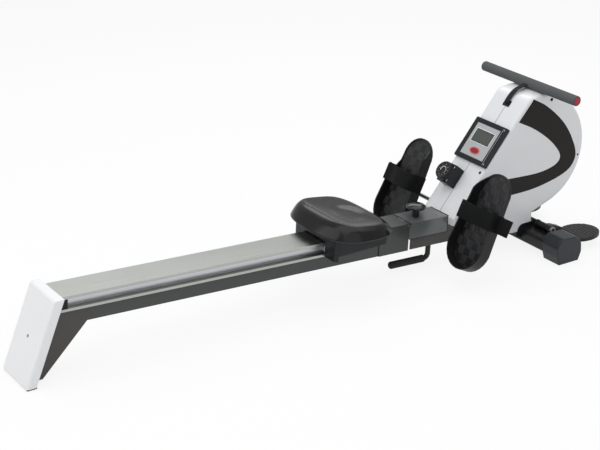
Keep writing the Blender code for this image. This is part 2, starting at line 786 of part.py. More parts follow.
def make_rear_cap():
    base = PAD_THICKNESS + GAP
    top = cap_top_z()
    below = base - 2 * CAP_ROUND
    low_x, top_x = cap_face_x(below), cap_face_x(top)
    outline = [(low_x, below), (low_x + CAP_DEPTH, below), (top_x + CAP_DEPTH, top), (top_x, top)]
    half = CAP_WIDTH / 2
    cap = slab("rear_cap", WHITE, WORLD, outline, -half, half)
    rear = lambda co: abs(co.x - cap_face_x(co.z)) < 0.0005
    bevel_edges(cap, rear, CAP_ROUND, 3)
    foot = (REAR_X - 0.05, -half - 0.01, below - 0.01), (REAR_X + 0.1, half + 0.01, base)
    cut(cap, block("cap_foot_cut", WHITE, WORLD, *foot))
    wall = CAP_WALL * hypot(CAP_LEAN, top) / top
    inner_low, inner_top = base + CAP_WALL, top - CAP_WALL
    pocket = [
        (cap_face_x(inner_low) + wall, inner_low),
        (cap_face_x(inner_low) + CAP_DEPTH + 0.03, inner_low),
        (cap_face_x(inner_top) + CAP_DEPTH + 0.03, inner_top),
        (cap_face_x(inner_top) + wall, inner_top),
    ]
    inside = half - CAP_WALL
    cut(cap, slab("cap_pocket", WHITE, WORLD, pocket, -inside, inside))
    leg_half = BOOM_WIDTH / 2 + GAP
    over_floor = inner_low + 0.001
    opening = [
        (cap_face_x(0) + wall, 0),
        (cap_face_x(0) + wall + 0.1, 0),
        (cap_face_x(0) + wall + 0.1, over_floor),
        (cap_face_x(over_floor) + wall, over_floor),
    ]
    return cut(cap, slab("cap_leg_cut", WHITE, WORLD, opening, -leg_half, leg_half))


def make_rear_leg():
    """A folded gusset: two side plates, a web against the cap and a foot."""
    base = PAD_THICKNESS + GAP
    wall = CAP_WALL * hypot(CAP_LEAN, cap_top_z()) / cap_top_z() + GAP
    under_rail = -RAIL_HEIGHT - GAP
    top_rear_z = boom_z(CAP_FRONT_X - 0.048, under_rail)
    top_rear_x = cap_face_x(top_rear_z) + wall
    top_front_x = CAP_FRONT_X + GUSSET_REACH
    foot_x = cap_face_x(base) + wall
    outline = rounded(
        [
            (foot_x, base, 0),
            (foot_x + GUSSET_FOOT, base, 0),
            (top_front_x, boom_z(top_front_x, under_rail), GUSSET_ROUND),
            (top_rear_x, boom_z(top_rear_x, under_rail), 0),
        ]
    )
    half = BOOM_WIDTH / 2
    leg = slab("rear_leg", STEEL, WORLD, outline, -half, half)
    sheet = SHEET * 1.1
    hollow = [
        (foot_x + sheet + 0.0015, base + sheet),
        (foot_x + GUSSET_FOOT + 0.1, base + sheet),
        (top_front_x + 0.1, top_rear_z + 0.05),
        (cap_face_x(top_rear_z + 0.05) + wall + sheet, top_rear_z + 0.05),
    ]
    return cut(leg, slab("leg_hollow", STEEL, WORLD, hollow, -half + SHEET, half - SHEET))


def make_rear_pad():
    half = CAP_WIDTH / 2 - 0.005
    low_x = REAR_X + 0.004
    pad = block("rear_foot", RUBBER, WORLD, (low_x, -half, 0), (low_x + CAP_DEPTH, half, PAD_THICKNESS))
    return pad


def make_rail_stops():
    rear = boom_u(CAP_FRONT_X) + 0.002
    lip = RAIL_WIDTH / 2 - RAIL_SKIN
    inner, outer = RAIL_WEB_HALF + GAP, lip - GAP
    low, top = -RAIL_HEIGHT + RAIL_SKIN + GAP, -RAIL_SKIN - GAP
    stops = []
    for side, sign in (("left", 1), ("right", -1)):
        y_low, y_high = sorted((sign * inner, sign * outer))
        corners = (rear, y_low, low), (rear + STOP_LENGTH, y_high, top)
        stops.append(block(f"rear_stop_{side}", RUBBER, BOOM, *corners))
    return stops


# Seat


def seat_frame_origin():
    return moved(BOOM, x=-SEAT_BEHIND_FOLD)


def seat_ring(scale_x, scale_y, height, power, count=16):
    """Points round a rounded rectangle, as a superellipse, at one height."""
    ring = []
    for i in range(count):
        angle = 2 * pi * i / count
        c, s = cos(angle), sin(angle)
        x = SEAT_LENGTH / 2 * scale_x * abs(c) ** power * (1 if c >= 0 else -1)
        y = SEAT_WIDTH / 2 * scale_y * abs(s) ** power * (1 if s >= 0 else -1)
        ring.append((x, y, height(x, y) if callable(height) else height))
    return ring


def make_seat_cushion():
    """A dished moulded cushion: rings from the flat underside up to the ridge and down into the dish."""
    base = SEAT_RIM
    crown = SEAT_CROWN
    ridge = lambda x, y: base + crown * (1.0 - 0.6 * x / SEAT_LENGTH)
    at = lambda share: lambda x, y: base + (ridge(x, y) - base) * share
    rings = [
        seat_ring(0.92, 0.94, base, 0.70),
        seat_ring(1.035, 1.03, base, 0.70),
        seat_ring(1.005, 1.005, at(0.14), 0.69),
        seat_ring(0.86, 0.930, at(0.62), 0.60),
        seat_ring(0.71, 0.865, at(0.98), 0.52),
        seat_ring(0.62, 0.790, at(0.99), 0.52),
        seat_ring(0.48, 0.640, at(0.80), 0.56),
        seat_ring(0.24, 0.340, at(0.66), 0.60),
    ]
    shape = bmesh.new()
    loops = [[shape.verts.new(co) for co in ring] for ring in rings]
    for lower, upper in zip(loops, loops[1:]):
        for i, vert in enumerate(lower):
            after = (i + 1) % len(lower)
            shape.faces.new((vert, lower[after], upper[after], upper[i]))
    shape.faces.new(loops[0][::-1])
    shape.faces.new(loops[-1])
    bmesh.ops.recalc_face_normals(shape, faces=shape.faces)
    cushion = from_bmesh("seat_cushion", shape, seat_frame_origin(), SEAT_SKIN)
    soften = cushion.modifiers.new("soften", "SUBSURF")
    soften.levels = 1
    soften.render_levels = 1
    flat = (-0.2, -0.3, base - 0.03), (0.2, 0.3, base + 0.0008)
    cut(cushion, block("cushion_flat_cut", SEAT_SKIN, seat_frame_origin(), *flat))
    return smooth(cushion)


def make_seat_carriage():
    """A moulded cover over the rollers, open below and cut out round the rail at both ends."""
    origin = moved(seat_frame_origin(), x=CARRIAGE_AHEAD)
    half_length, half_width = CARRIAGE_LENGTH / 2, CARRIAGE_WIDTH / 2
    top = SEAT_RIM
    corner = 0.018
    corners = (-1, -1), (1, -1), (1, 1), (-1, 1)
    outline = rounded([(sx * half_length, sy * half_width, corner) for sx, sy in corners])
    carriage = slab("seat_carriage", BLACK, origin, outline, -TAB_DROP, top, "Z")
    length, width = half_length - SHEET, half_width - SHEET
    inside = rounded([(sx * length, sy * width, corner - SHEET) for sx, sy in corners])
    cut(carriage, slab("carriage_inside", BLACK, origin, inside, -0.1, top - SHEET, "Z"))
    far = half_length + 0.02
    tab_front = -half_length + TAB_LENGTH
    skirt = [
        (tab_front, -0.1),
        (far, -0.1),
        (far, -CARRIAGE_DROP_FRONT),
        (tab_front, -CARRIAGE_DROP_REAR),
    ]
    cut(carriage, slab("carriage_skirt_cut", BLACK, origin, skirt, -0.2, 0.2))
    way_half = RAIL_WIDTH / 2 + 0.0015
    way = (-far, -way_half, -0.1), (far, way_half, 0.0035)
    return cut(carriage, block("carriage_rail_cut", BLACK, origin, *way))


def roller_places():
    """Names and frames of the four rollers, on their axles."""
    drop = -RAIL_HEIGHT + RAIL_SKIN + ROLLER_RADIUS + GAP
    for end, sx in (("rear", -1), ("front", 1)):
        for side, sy in (("left", 1), ("right", -1)):
            y = sy * (RAIL_WEB_HALF + 0.002 + ROLLER_WIDTH / 2)
            yield f"{end}_{side}", sy, moved(seat_frame_origin(), sx * ROLLER_SPACING / 2, y, drop)


def make_seat_frame():
    """A steel channel over the rail, with a stud for each roller."""
    origin = seat_frame_origin()
    wide = RAIL_WIDTH + 0.012
    drop = TAB_DROP - 0.006
    section = channel_section(wide, drop + SEAT_RIM - SHEET - 2 * GAP, SHEET, SEAT_RIM - SHEET - GAP)
    half = ROLLER_SPACING / 2 + 0.018
    frame = slab("seat_frame", STEEL, origin, section, -half, half, "X")
    for place_name, sy, centre in roller_places():
        inner = -sy * (ROLLER_WIDTH / 2 + 0.0005)
        outer = sy * (wide / 2 - SHEET / 2 - RAIL_WEB_HALF - 0.002 - ROLLER_WIDTH / 2)
        stud = rod(f"stud_{place_name}", STEEL, centre, (0, inner, 0), (0, outer, 0), STUD_RADIUS, 16)
        weld(frame, stud)
    return frame


def make_rollers():
    bore = STUD_RADIUS + STUD_GAP
    half = ROLLER_WIDTH / 2
    profile = [
        (ROLLER_RADIUS - 0.001, half),
        (ROLLER_RADIUS, half - 0.001),
        (ROLLER_RADIUS, -half + 0.001),
        (ROLLER_RADIUS - 0.001, -half),
        (bore, -half),
        (bore, half),
    ]
    return [
        turned(f"seat_roller_{place_name}", WHITE, centre, profile, 20, ring=True)
        for place_name, _, centre in roller_places()
    ]


# Casing


def casing_outline():
    """Side view before the arch is cut: toe, lower edge, leg, the round front and the sloping face."""
    toe = FACE @ Vector((-TOE_REACH, 0, 0))
    crest_up = sqrt(CASING_RADIUS**2 - FACE_DISTANCE**2)
    crest = FACE @ Vector((crest_up, 0, 0))
    crest_turn = atan2(crest.z - FLYWHEEL_Z, crest.x - FLYWHEEL_X)
    x = FLYWHEEL_X
    lower = rounded(
        [
            (toe.x, toe.z, 0),
            (toe.x, TOE_FOOT_Z, 0),
            (x - 0.124, 0.1115, 0.012),
            (x - 0.092, 0.036, 0),
            (x - 0.008, 0.036, 0),
            (x - 0.008, 0.119, 0),
            (x + 0.058, 0.1417, 0),
        ],
        3,
    )
    start = atan2(0.1417 - FLYWHEEL_Z, 0.058)
    round_front = arc((x, FLYWHEEL_Z), CASING_RADIUS, start, crest_turn - radians(14), 26)
    blend = rounded([(*round_front[-1], 0), (crest.x, crest.z, 0.040), (toe.x, toe.z, 0)], 5)[1:-1]
    return [*lower[:-1], *round_front, *blend]


def arch_outline():
    """What is taken out of the casing round the stabiliser's collar."""
    x = FLYWHEEL_X
    low, rear, top = 0.02, COLLAR_REAR_X - GAP, COLLAR_HEIGHT + 0.002
    return rounded([(rear, low, 0), (x + 0.1, low, 0), (x + 0.1, top, 0), (rear, top, 0.024)])


def make_casing_half(name, side):
    width = CASING_WIDTH / 2
    low, high = sorted((side * GAP / 2, side * width))
    half = slab(name, WHITE, WORLD, casing_outline(), low, high)
    bevel_edges(half, lambda co: abs(abs(co.y) - width) < 0.00005, CASING_ROUND, 3)
    shape = bmesh.new()
    shape.from_mesh(half.data)
    seam = [face for face in shape.faces if all(abs(vert.co.y) < GAP for vert in face.verts)]
    bmesh.ops.delete(shape, geom=seam, context="FACES")
    shape.to_mesh(half.data)
    shape.free()
    wall = half.modifiers.new("wall", "SOLIDIFY")
    wall.thickness = CASING_WALL
    wall.offset = -1
    wall.use_even_offset = True
    passage = BOOM_WIDTH / 2 + 0.001
    end = boom_u(COLLAR_REAR_X) + 0.012
    cut(half, block(f"{name}_frame_cut", WHITE, BOOM, (0.10, -passage, -0.12), (end, passage, 0.001)))
    cut(half, slab(f"{name}_arch_cut", WHITE, WORLD, arch_outline(), -0.1, 0.1))
    leg_end = (FLYWHEEL_X - 0.2, -0.1, 0), (FLYWHEEL_X, 0.1, CASING_FOOT_Z)
    cut(half, block(f"{name}_leg_cut", WHITE, WORLD, *leg_end))
    axle = PEDAL_AXLE_RADIUS + 0.001
    cut(half, world_rod(f"{name}_axle_cut", PEDAL_X, PEDAL_AXLE_Z, -0.1, 0.1, axle))
    slot_low, slot_high = SLOT_UP - SLOT_HEIGHT / 2, SLOT_UP + SLOT_HEIGHT / 2
    slot = (slot_low, -SLOT_WIDTH / 2, -0.012), (slot_high, SLOT_WIDTH / 2, 0.01)
    cut(half, block(f"{name}_slot_cut", WHITE, FACE, *slot))
    tray = tray_size()
    hole = (
        (-CONSOLE_DOWN - tray[0] / 2 - GAP, PANEL_SIDE - tray[1] / 2 - GAP, -0.02),
        (-CONSOLE_DOWN + tray[0] / 2 + GAP, PANEL_SIDE + tray[1] / 2 + GAP, 0.02),
    )
    cut(half, block(f"{name}_console_cut", WHITE, FACE, *hole))
    if side > 0:
        cable = CABLE_RADIUS + 0.001
        ends = (-TENSION_DOWN, TENSION_SIDE, -0.02), (-TENSION_DOWN, TENSION_SIDE, 0.02)
        cut(half, rod(f"{name}_cable_cut", WHITE, FACE, *ends, cable))
    return half


# Console


def tray_size():
    """Length up the face and width of the console's body behind the panel."""
    return PANEL_LENGTH - 0.018, PANEL_WIDTH - 0.020


def make_console_bezel():
    half_length, half_width = CONSOLE_LENGTH / 2, CONSOLE_WIDTH / 2
    corners = (-1, -1), (1, -1), (1, 1), (-1, 1)
    outline = rounded([(a * half_length, b * half_width, 0.005) for a, b in corners], 3)
    frame = moved(FACE, x=-CONSOLE_DOWN)
    bezel = slab("console_bezel", GREY, frame, outline, GAP, GAP + CONSOLE_THICKNESS, "Z")
    top = GAP + CONSOLE_THICKNESS
    bevel_edges(bezel, lambda co: abs(co.z - top) < 0.00005, 0.002, 2)
    window_length, window_width = PANEL_LENGTH / 2 + GAP, PANEL_WIDTH / 2 + GAP
    window = (
        (-window_length, PANEL_SIDE - window_width, -0.01),
        (window_length, PANEL_SIDE + window_width, 0.02),
    )
    return cut(bezel, block("console_window_cut", GREY, frame, *window))


def panel_frame():
    return moved(FACE, -CONSOLE_DOWN, PANEL_SIDE, GAP + CONSOLE_THICKNESS - PANEL_RECESS)


def oval(length, width, count=24):
    """Points of an ellipse of this length and width."""
    return [
        (length / 2 * cos(2 * pi * i / count), width / 2 * sin(2 * pi * i / count)) for i in range(count)
    ]


def make_console_panel():
    """Front plate with a recess for the lens, a hole for the button and a tray behind."""
    frame = panel_frame()
    plate = 0.004
    length, width = PANEL_LENGTH / 2, PANEL_WIDTH / 2
    panel = block("console_panel", SILVER, frame, (-length, -width, -plate), (length, width, 0))
    tray = tray_size()
    wall = 0.002
    depth = 0.020
    outer = (-tray[0] / 2, -tray[1] / 2, -depth), (tray[0] / 2, tray[1] / 2, -plate + 0.001)
    weld(panel, block("console_tray", SILVER, frame, *outer))
    inner = (
        (-tray[0] / 2 + wall, -tray[1] / 2 + wall, -depth - 0.01),
        (tray[0] / 2 - wall, tray[1] / 2 - wall, -plate),
    )
    cut(panel, block("console_tray_cut", SILVER, frame, *inner))
    recess_length, recess_width = LENS_LENGTH / 2 + GAP, LENS_WIDTH / 2 + GAP
    recess = (LENS_UP - recess_length, -recess_width, -0.0020), (LENS_UP + recess_length, recess_width, 0.01)
    cut(panel, block("lens_recess", SILVER, frame, *recess))
    hole = oval(BUTTON_LENGTH + 4 * GAP, BUTTON_WIDTH + 4 * GAP)
    hole = [(a - BUTTON_DOWN, b) for a, b in hole]
    return cut(panel, slab("button_hole", SILVER, frame, hole, -0.01, 0.01, "Z"))


def make_console_window():
    low, high = -0.0020 + GAP, 0.0002
    near, far = LENS_UP - LENS_LENGTH / 2, LENS_UP + LENS_LENGTH / 2
    corners = (near, -LENS_WIDTH / 2, low), (far, LENS_WIDTH / 2, high)
    return block("console_window", LENS, panel_frame(), *corners)


def make_console_button():
    """An oval key that stands proud of the panel, on a stem that meets the board."""
    frame = moved(panel_frame(), x=-BUTTON_DOWN)
    outline = oval(BUTTON_LENGTH, BUTTON_WIDTH)
    button = slab("console_button", RED, frame, outline, -0.0042, 0.0022, "Z")
    bevel_edges(button, lambda co: abs(co.z - 0.0022) < 0.00005, 0.0010, 2)
    return button


def make_console_board():
    tray = tray_size()
    half_length, half_width = tray[0] / 2 - 0.002 - GAP, tray[1] / 2 - 0.002 - GAP
    low = -0.0142
    corners = (-half_length, -half_width, low), (half_length, half_width, low + 0.0016)
    board = block("console_board", BOARD, panel_frame(), *corners)
    switch_top = -0.0042 - BUTTON_TRAVEL - GAP
    switch = (-BUTTON_DOWN - 0.006, -0.006, low + 0.001), (-BUTTON_DOWN + 0.006, 0.006, switch_top)
    return weld(board, block("board_switch", BOARD, panel_frame(), *switch))


# Tension control


def tension_frame():
    return moved(FACE, -TENSION_DOWN, TENSION_SIDE, 0)


def make_tension_base():
    half_length, half_width = TENSION_BASE_LENGTH / 2, TENSION_BASE_WIDTH / 2
    top = TENSION_BASE_HEIGHT
    corners = (-half_length, -half_width, GAP), (half_length, half_width, top)
    base = block("tension_base", GREY, tension_frame(), *corners)
    bevel_edges(base, lambda co: abs(co.z - top) < 0.00005, 0.003, 2)
    low = (0, 0, -0.004 - CASING_WALL)
    return cut(base, rod("base_cable_cut", GREY, tension_frame(), low, (0, 0, 0.012), CABLE_RADIUS + GAP, 12))


def make_tension_knob():
    """A dial with a domed face and a gripped rim."""
    frame = moved(tension_frame(), z=TENSION_BASE_HEIGHT + GAP)
    radius, height = TENSION_KNOB_RADIUS, TENSION_KNOB_HEIGHT
    profile = [
        (0, height),
        (0.72 * radius, height - 0.0004),
        (0.90 * radius, height - 0.0020),
        (0.98 * radius, height - 0.0060),
        (radius, 0.002),
        (0.95 * radius, 0),
        (0, 0),
    ]
    return turned("tension_knob", BLACK, frame, profile, 30, along="Z")


def cable_route():
    """World points from the tension base, in behind the face, round to the magnet bracket."""
    pivot = magnet_pivot()
    start = FACE @ Vector((-TENSION_DOWN, TENSION_SIDE, 0.010))
    through = FACE @ Vector((-TENSION_DOWN, TENSION_SIDE, -0.002))
    inside = FACE @ Vector((-TENSION_DOWN, TENSION_SIDE, -0.016))
    turn = FACE @ Vector((-TENSION_DOWN + 0.030, TENSION_SIDE + 0.022, -0.034))
    up = Vector((pivot[0] - 0.032, FLYWHEEL_Y + 0.034, pivot[1] + 0.010))
    end = Vector((pivot[0] - 0.010, FLYWHEEL_Y + 0.036, pivot[1] + 0.024))
    return smooth_path([tuple(point) for point in (start, through, inside, turn, up, end)], 4)


def make_tension_cable():
    return tube_along("tension_cable", RUBBER, WORLD, cable_route(), CABLE_RADIUS, 4)


# Drive


def make_flywheel():
    """A steel disc with a heavy rim, a web and a hub."""
    radius, half = FLYWHEEL_RADIUS, FLYWHEEL_WIDTH / 2
    web = 0.004
    bore = FLYWHEEL_SHAFT_RADIUS + GAP
    profile = [
        (radius, half),
        (radius, -half),
        (radius - 0.030, -half),
        (radius - 0.034, -web),
        (0.030, -web),
        (0.026, -half),
        (bore, -half),
        (bore, half),
        (0.026, half),
        (0.030, web),
        (radius - 0.034, web),
        (radius - 0.030, half),
    ]
    frame = Matrix.Translation((FLYWHEEL_X, FLYWHEEL_Y + half, FLYWHEEL_Z))
    return turned("flywheel", BARE_STEEL, frame, profile, 40, ring=True)


def pulley_rim(radius):
    """Outer profile of a pulley between two flanges, high end first, about PULLEY_Y."""
    groove, edge = BELT_WIDTH / 2 + 0.0006, BELT_WIDTH / 2 + 0.002
    flange = radius + PULLEY_FLANGE
    upper = [(flange, edge), (flange, groove), (radius, groove)]
    return upper + [(across, -y) for across, y in reversed(upper)]


def make_flywheel_axle():
    """The shaft that turns with the flywheel, with the small pulley on it."""
    shaft = FLYWHEEL_SHAFT_RADIUS
    high = FLYWHEEL_Y + FLYWHEEL_WIDTH + 0.004
    low = CHEEK_RIGHT - 0.004
    rim = [(radius, PULLEY_Y + y) for radius, y in pulley_rim(SMALL_PULLEY_RADIUS)]
    above = [(0, high), (shaft, high), (shaft, rim[0][1])]
    profile = above + rim + [(shaft, rim[-1][1]), (shaft, low), (0, low)]
    frame = Matrix.Translation((FLYWHEEL_X, 0, FLYWHEEL_Z))
    return turned("flywheel_axle", BARE_STEEL, frame, profile, 24)


def make_bearings():
    """A ring in each side plate that holds the flywheel's shaft."""
    bore = FLYWHEEL_SHAFT_RADIUS + GAP
    width = 0.003
    profile = [(BEARING_RADIUS, width), (BEARING_RADIUS, -width), (bore, -width), (bore, width)]
    made = []
    for side, plate_low in (("left", CHEEK_LEFT), ("right", CHEEK_RIGHT)):
        frame = Matrix.Translation((FLYWHEEL_X, plate_low + SHEET / 2, FLYWHEEL_Z))
        made.append(turned(f"flywheel_bearing_{side}", BARE_STEEL, frame, profile, 24, ring=True))
    return made


def make_strap_drum():
    """The reel that winds the strap, with the big pulley beside it."""
    bore = DRUM_AXLE_RADIUS + 2 * GAP
    inner, outer = 0.0135, 0.0150
    rim = [(radius, PULLEY_Y + y) for radius, y in pulley_rim(BIG_PULLEY_RADIUS)]
    hub = 0.020
    profile = [
        (DRUM_FLANGE_RADIUS, outer),
        (DRUM_FLANGE_RADIUS, inner),
        (DRUM_CORE_RADIUS, inner),
        (DRUM_CORE_RADIUS, -inner),
        (DRUM_FLANGE_RADIUS, -inner),
        (DRUM_FLANGE_RADIUS, -outer),
        (hub, -outer),
        (hub, rim[0][1]),
        *rim,
        (bore, rim[-1][1]),
        (bore, outer),
    ]
    frame = Matrix.Translation((DRUM_X, 0, DRUM_Z))
    return turned("strap_drum", GREY, frame, profile, 32, ring=True)


def make_wound_strap():
    half = STRAP_WIDTH / 2
    core = DRUM_CORE_RADIUS + GAP
    profile = [(WOUND_RADIUS, half), (WOUND_RADIUS, -half), (core, -half), (core, half)]
    frame = Matrix.Translation((DRUM_X, 0, DRUM_Z))
    return turned("wound_strap", WEBBING, frame, profile, 28, ring=True)


def belt_loop(extra):
    """Outline of a loop round both pulleys, this much outside them."""
    big, small = BIG_PULLEY_RADIUS + extra, SMALL_PULLEY_RADIUS + extra
    across, up = FLYWHEEL_X - DRUM_X, FLYWHEEL_Z - DRUM_Z
    line = atan2(up, across)
    spread = acos((big - small) / hypot(across, up))
    around_small = arc((FLYWHEEL_X, FLYWHEEL_Z), small, line - spread, line + spread, 7)
    around_big = arc((DRUM_X, DRUM_Z), big, line + spread, line - spread + 2 * pi, 30)
    return around_small + around_big


def make_drive_belt():
    low, high = PULLEY_Y - BELT_WIDTH / 2, PULLEY_Y + BELT_WIDTH / 2
    outer, inner = belt_loop(GAP + BELT_THICKNESS), belt_loop(GAP)
    return slab("drive_belt", RUBBER, WORLD, outer, low, high, holes=[inner])


def make_drum_axle():
    low, high = CHEEK_RIGHT - 0.014, CHEEK_OUT + 0.002
    return world_rod("drum_axle", DRUM_X, DRUM_Z, low, high, DRUM_AXLE_RADIUS, BARE_STEEL)


def make_recoil_spring():
    """The flat case of the spring that winds the strap back, outside the right cheek."""
    high = CHEEK_RIGHT - GAP
    low = high - 0.010
    bore = DRUM_AXLE_RADIUS + GAP
    profile = [(0.036, high), (0.036, low), (bore, low), (bore, high)]
    frame = Matrix.Translation((DRUM_X, 0, DRUM_Z))
    return turned("recoil_spring", BARE_STEEL, frame, profile, 28, ring=True)


def make_guide_roller():
    x, z = guide_roller_centre()
    half = 0.0145
    radius, bore = GUIDE_ROLLER_RADIUS, 0.004 + STUD_GAP
    profile = [
        (radius + 0.002, half),
        (radius + 0.002, half - 0.001),
        (radius, half - 0.001),
        (radius, -half + 0.001),
        (radius + 0.002, -half + 0.001),
        (radius + 0.002, -half),
        (bore, -half),
        (bore, half),
    ]
    return turned("strap_roller", GREY, Matrix.Translation((x, 0, z)), profile, 24, ring=True)


def make_magnet_bracket():
    """A curved arm beside the flywheel's rim, on a hub round its stud."""
    x, z = magnet_pivot()
    inner = FLYWHEEL_RADIUS + MAGNET_GAP
    outer = inner + MAGNET_THICKNESS
    start, end = MAGNET_ANGLE + radians(1), MAGNET_ANGLE + MAGNET_SWEEP
    pivot_x, pivot_z = FLYWHEEL_X - x, FLYWHEEL_Z - z
    centre = (pivot_x, pivot_z)
    outline = arc(centre, inner, start, end, 10) + arc(centre, outer, end, start, 10)
    frame = Matrix.Translation((x, 0, z))
    low = FLYWHEEL_Y
    high = FLYWHEEL_Y + FLYWHEEL_WIDTH
    bracket = slab("magnet_bracket", STEEL, frame, outline, low, high)
    weld(bracket, rod("magnet_hub", STEEL, frame, (0, low + 0.002, 0), (0, high - 0.002, 0), 0.0088))
    return cut(bracket, rod("magnet_bore", STEEL, frame, (0, 0, 0), (0, 0.08, 0), 0.005 + STUD_GAP))


# Strap and handle


def strap_route():
    """World x and z of the strap: up from its coil, past the roller, out of the slot and to the bar."""
    roller_x, roller_z = guide_roller_centre()
    outward = (-sin(FACE_SLOPE), cos(FACE_SLOPE))
    touch = GUIDE_ROLLER_RADIUS + 0.0020 + GAP + STRAP_THICKNESS / 2
    passing = (roller_x + outward[0] * touch, roller_z + outward[1] * touch)
    off_coil = WOUND_RADIUS + GAP + STRAP_THICKNESS / 2
    start = (DRUM_X - off_coil * 0.963, DRUM_Z + off_coil * 0.269)
    half_way = ((start[0] + passing[0]) / 2, (start[1] + passing[1]) / 2)
    slot = FACE @ Vector((SLOT_UP - 0.001, 0, -0.001))
    out = FACE @ Vector((SLOT_UP + 0.011, 0, 0.0060))
    points = [
        start,
        half_way,
        passing,
        (slot.x, slot.z),
        (out.x, out.z),
        (HANDLE_X - 0.062, CREST_Z + 0.002),
        (HANDLE_X - 0.030, HANDLE_Z - 0.004),
        (HANDLE_X - HANDLE_TUBE_RADIUS - 2 * GAP, HANDLE_Z - 0.001),
    ]
    return smooth_path(points, 4)


def make_pull_strap():
    half = STRAP_WIDTH / 2
    return slab("pull_strap", WEBBING, WORLD, ribbon(strap_route(), STRAP_THICKNESS), -half, half)


def make_handle():
    """A steel tube in a foam grip, with a red cap plugged into each end."""
    frame = Matrix.Translation((HANDLE_X, 0, HANDLE_Z))
    half = HANDLE_LENGTH / 2
    grip_half = half - HANDLE_CAP_LENGTH - GAP
    bore = HANDLE_TUBE_RADIUS - 0.0015
    tube_half = grip_half
    outer = [(HANDLE_TUBE_RADIUS, tube_half), (HANDLE_TUBE_RADIUS, -tube_half)]
    inside = [(bore, -tube_half), (bore, tube_half)]
    tube = turned("handle_bar", BARE_STEEL, frame, outer + inside, 32, ring=True)
    inner = HANDLE_TUBE_RADIUS + GAP
    grip = turned(
        "handle_grip",
        FOAM,
        frame,
        [(HANDLE_RADIUS, grip_half), (HANDLE_RADIUS, -grip_half), (inner, -grip_half), (inner, grip_half)],
        32,
        ring=True,
    )
    slot_half = STRAP_WIDTH / 2 + 0.001
    cut(grip, block("grip_slot", FOAM, frame, (-0.03, -slot_half, -0.006), (-0.006, slot_half, 0.004)))
    pieces = [tube, grip]
    for side, sign in (("left", 1), ("right", -1)):
        plug = bore - GAP
        ends = [
            (0, half),
            (HANDLE_RADIUS * 0.86, half),
            (HANDLE_RADIUS, half - 0.0025),
            (HANDLE_RADIUS, grip_half + GAP),
            (plug, grip_half + GAP),
            (plug, grip_half - 0.018),
            (0, grip_half - 0.018),
        ]
        end_frame = frame if sign > 0 else frame @ Matrix.Rotation(pi, 4, "Z")
        pieces.append(turned(f"handle_cap_{side}", RED, end_frame, ends, 24))
    return pieces


# Pedals


def pedal_frame(side):
    """On the axle: X towards the toes along the sole, Z towards the rower."""
    at = Matrix.Translation((PEDAL_X, side * PEDAL_SIDE, PEDAL_AXLE_Z))
    return at @ Matrix.Rotation(-PEDAL_TILT, 4, "Y")


def sole_outline(inset=0.0):
    """A foot's outline: a round toe, a narrower round heel, and straight sides between."""
    toe, heel = TOE_WIDTH / 2 - inset, HEEL_WIDTH / 2 - inset
    toe_x = TOE_LENGTH - TOE_WIDTH / 2
    heel_x = -HEEL_LENGTH + HEEL_WIDTH / 2
    lean = acos((toe - heel) / (toe_x - heel_x))
    return arc((toe_x, 0), toe, -lean, lean, 14) + arc((heel_x, 0), heel, lean, 2 * pi - lean, 14)


def wall_cutter(name, frame, side, inner):
    """What is taken off the wall ahead of the heel: the inner wall runs further towards the toes."""
    fall_start, fall_end = (0.105, 0.152) if inner else (0.010, 0.080)
    floor = SOLE_RISE + TOE_WALL_HEIGHT
    top = SOLE_RISE + HEEL_WALL_HEIGHT
    over = top + 0.01
    outline = [(fall_start, over), (fall_start, top), (fall_end, floor), (0.25, floor), (0.25, over)]
    towards = -side if inner else side
    low, high = sorted((0, towards * 0.12))
    return slab(name, BLACK, frame, outline, low, high)


def make_pedal(name, side):
    frame = pedal_frame(side)
    bottom = SOLE_RISE - SOLE_THICKNESS
    top = SOLE_RISE + HEEL_WALL_HEIGHT
    pedal = slab(name, BLACK, frame, sole_outline(), bottom, top, "Z")
    cut(pedal, slab(f"{name}_dish", BLACK, frame, sole_outline(PEDAL_WALL), SOLE_RISE, top + 0.02, "Z"))
    cut(pedal, wall_cutter(f"{name}_outer_fall", frame, side, False))
    cut(pedal, wall_cutter(f"{name}_inner_fall", frame, side, True))
    hub = PEDAL_AXLE_RADIUS + 0.006
    weld(pedal, block(f"{name}_hub", BLACK, frame, (-hub, -0.030, -0.004), (hub, 0.030, bottom + 0.002)))
    weld(pedal, rod(f"{name}_hub_round", BLACK, frame, (0, -0.030, 0), (0, 0.030, 0), hub))
    bore = PEDAL_AXLE_RADIUS + STUD_GAP
    return cut(pedal, rod(f"{name}_bore", BLACK, frame, (0, -0.04, 0), (0, 0.04, 0), bore))


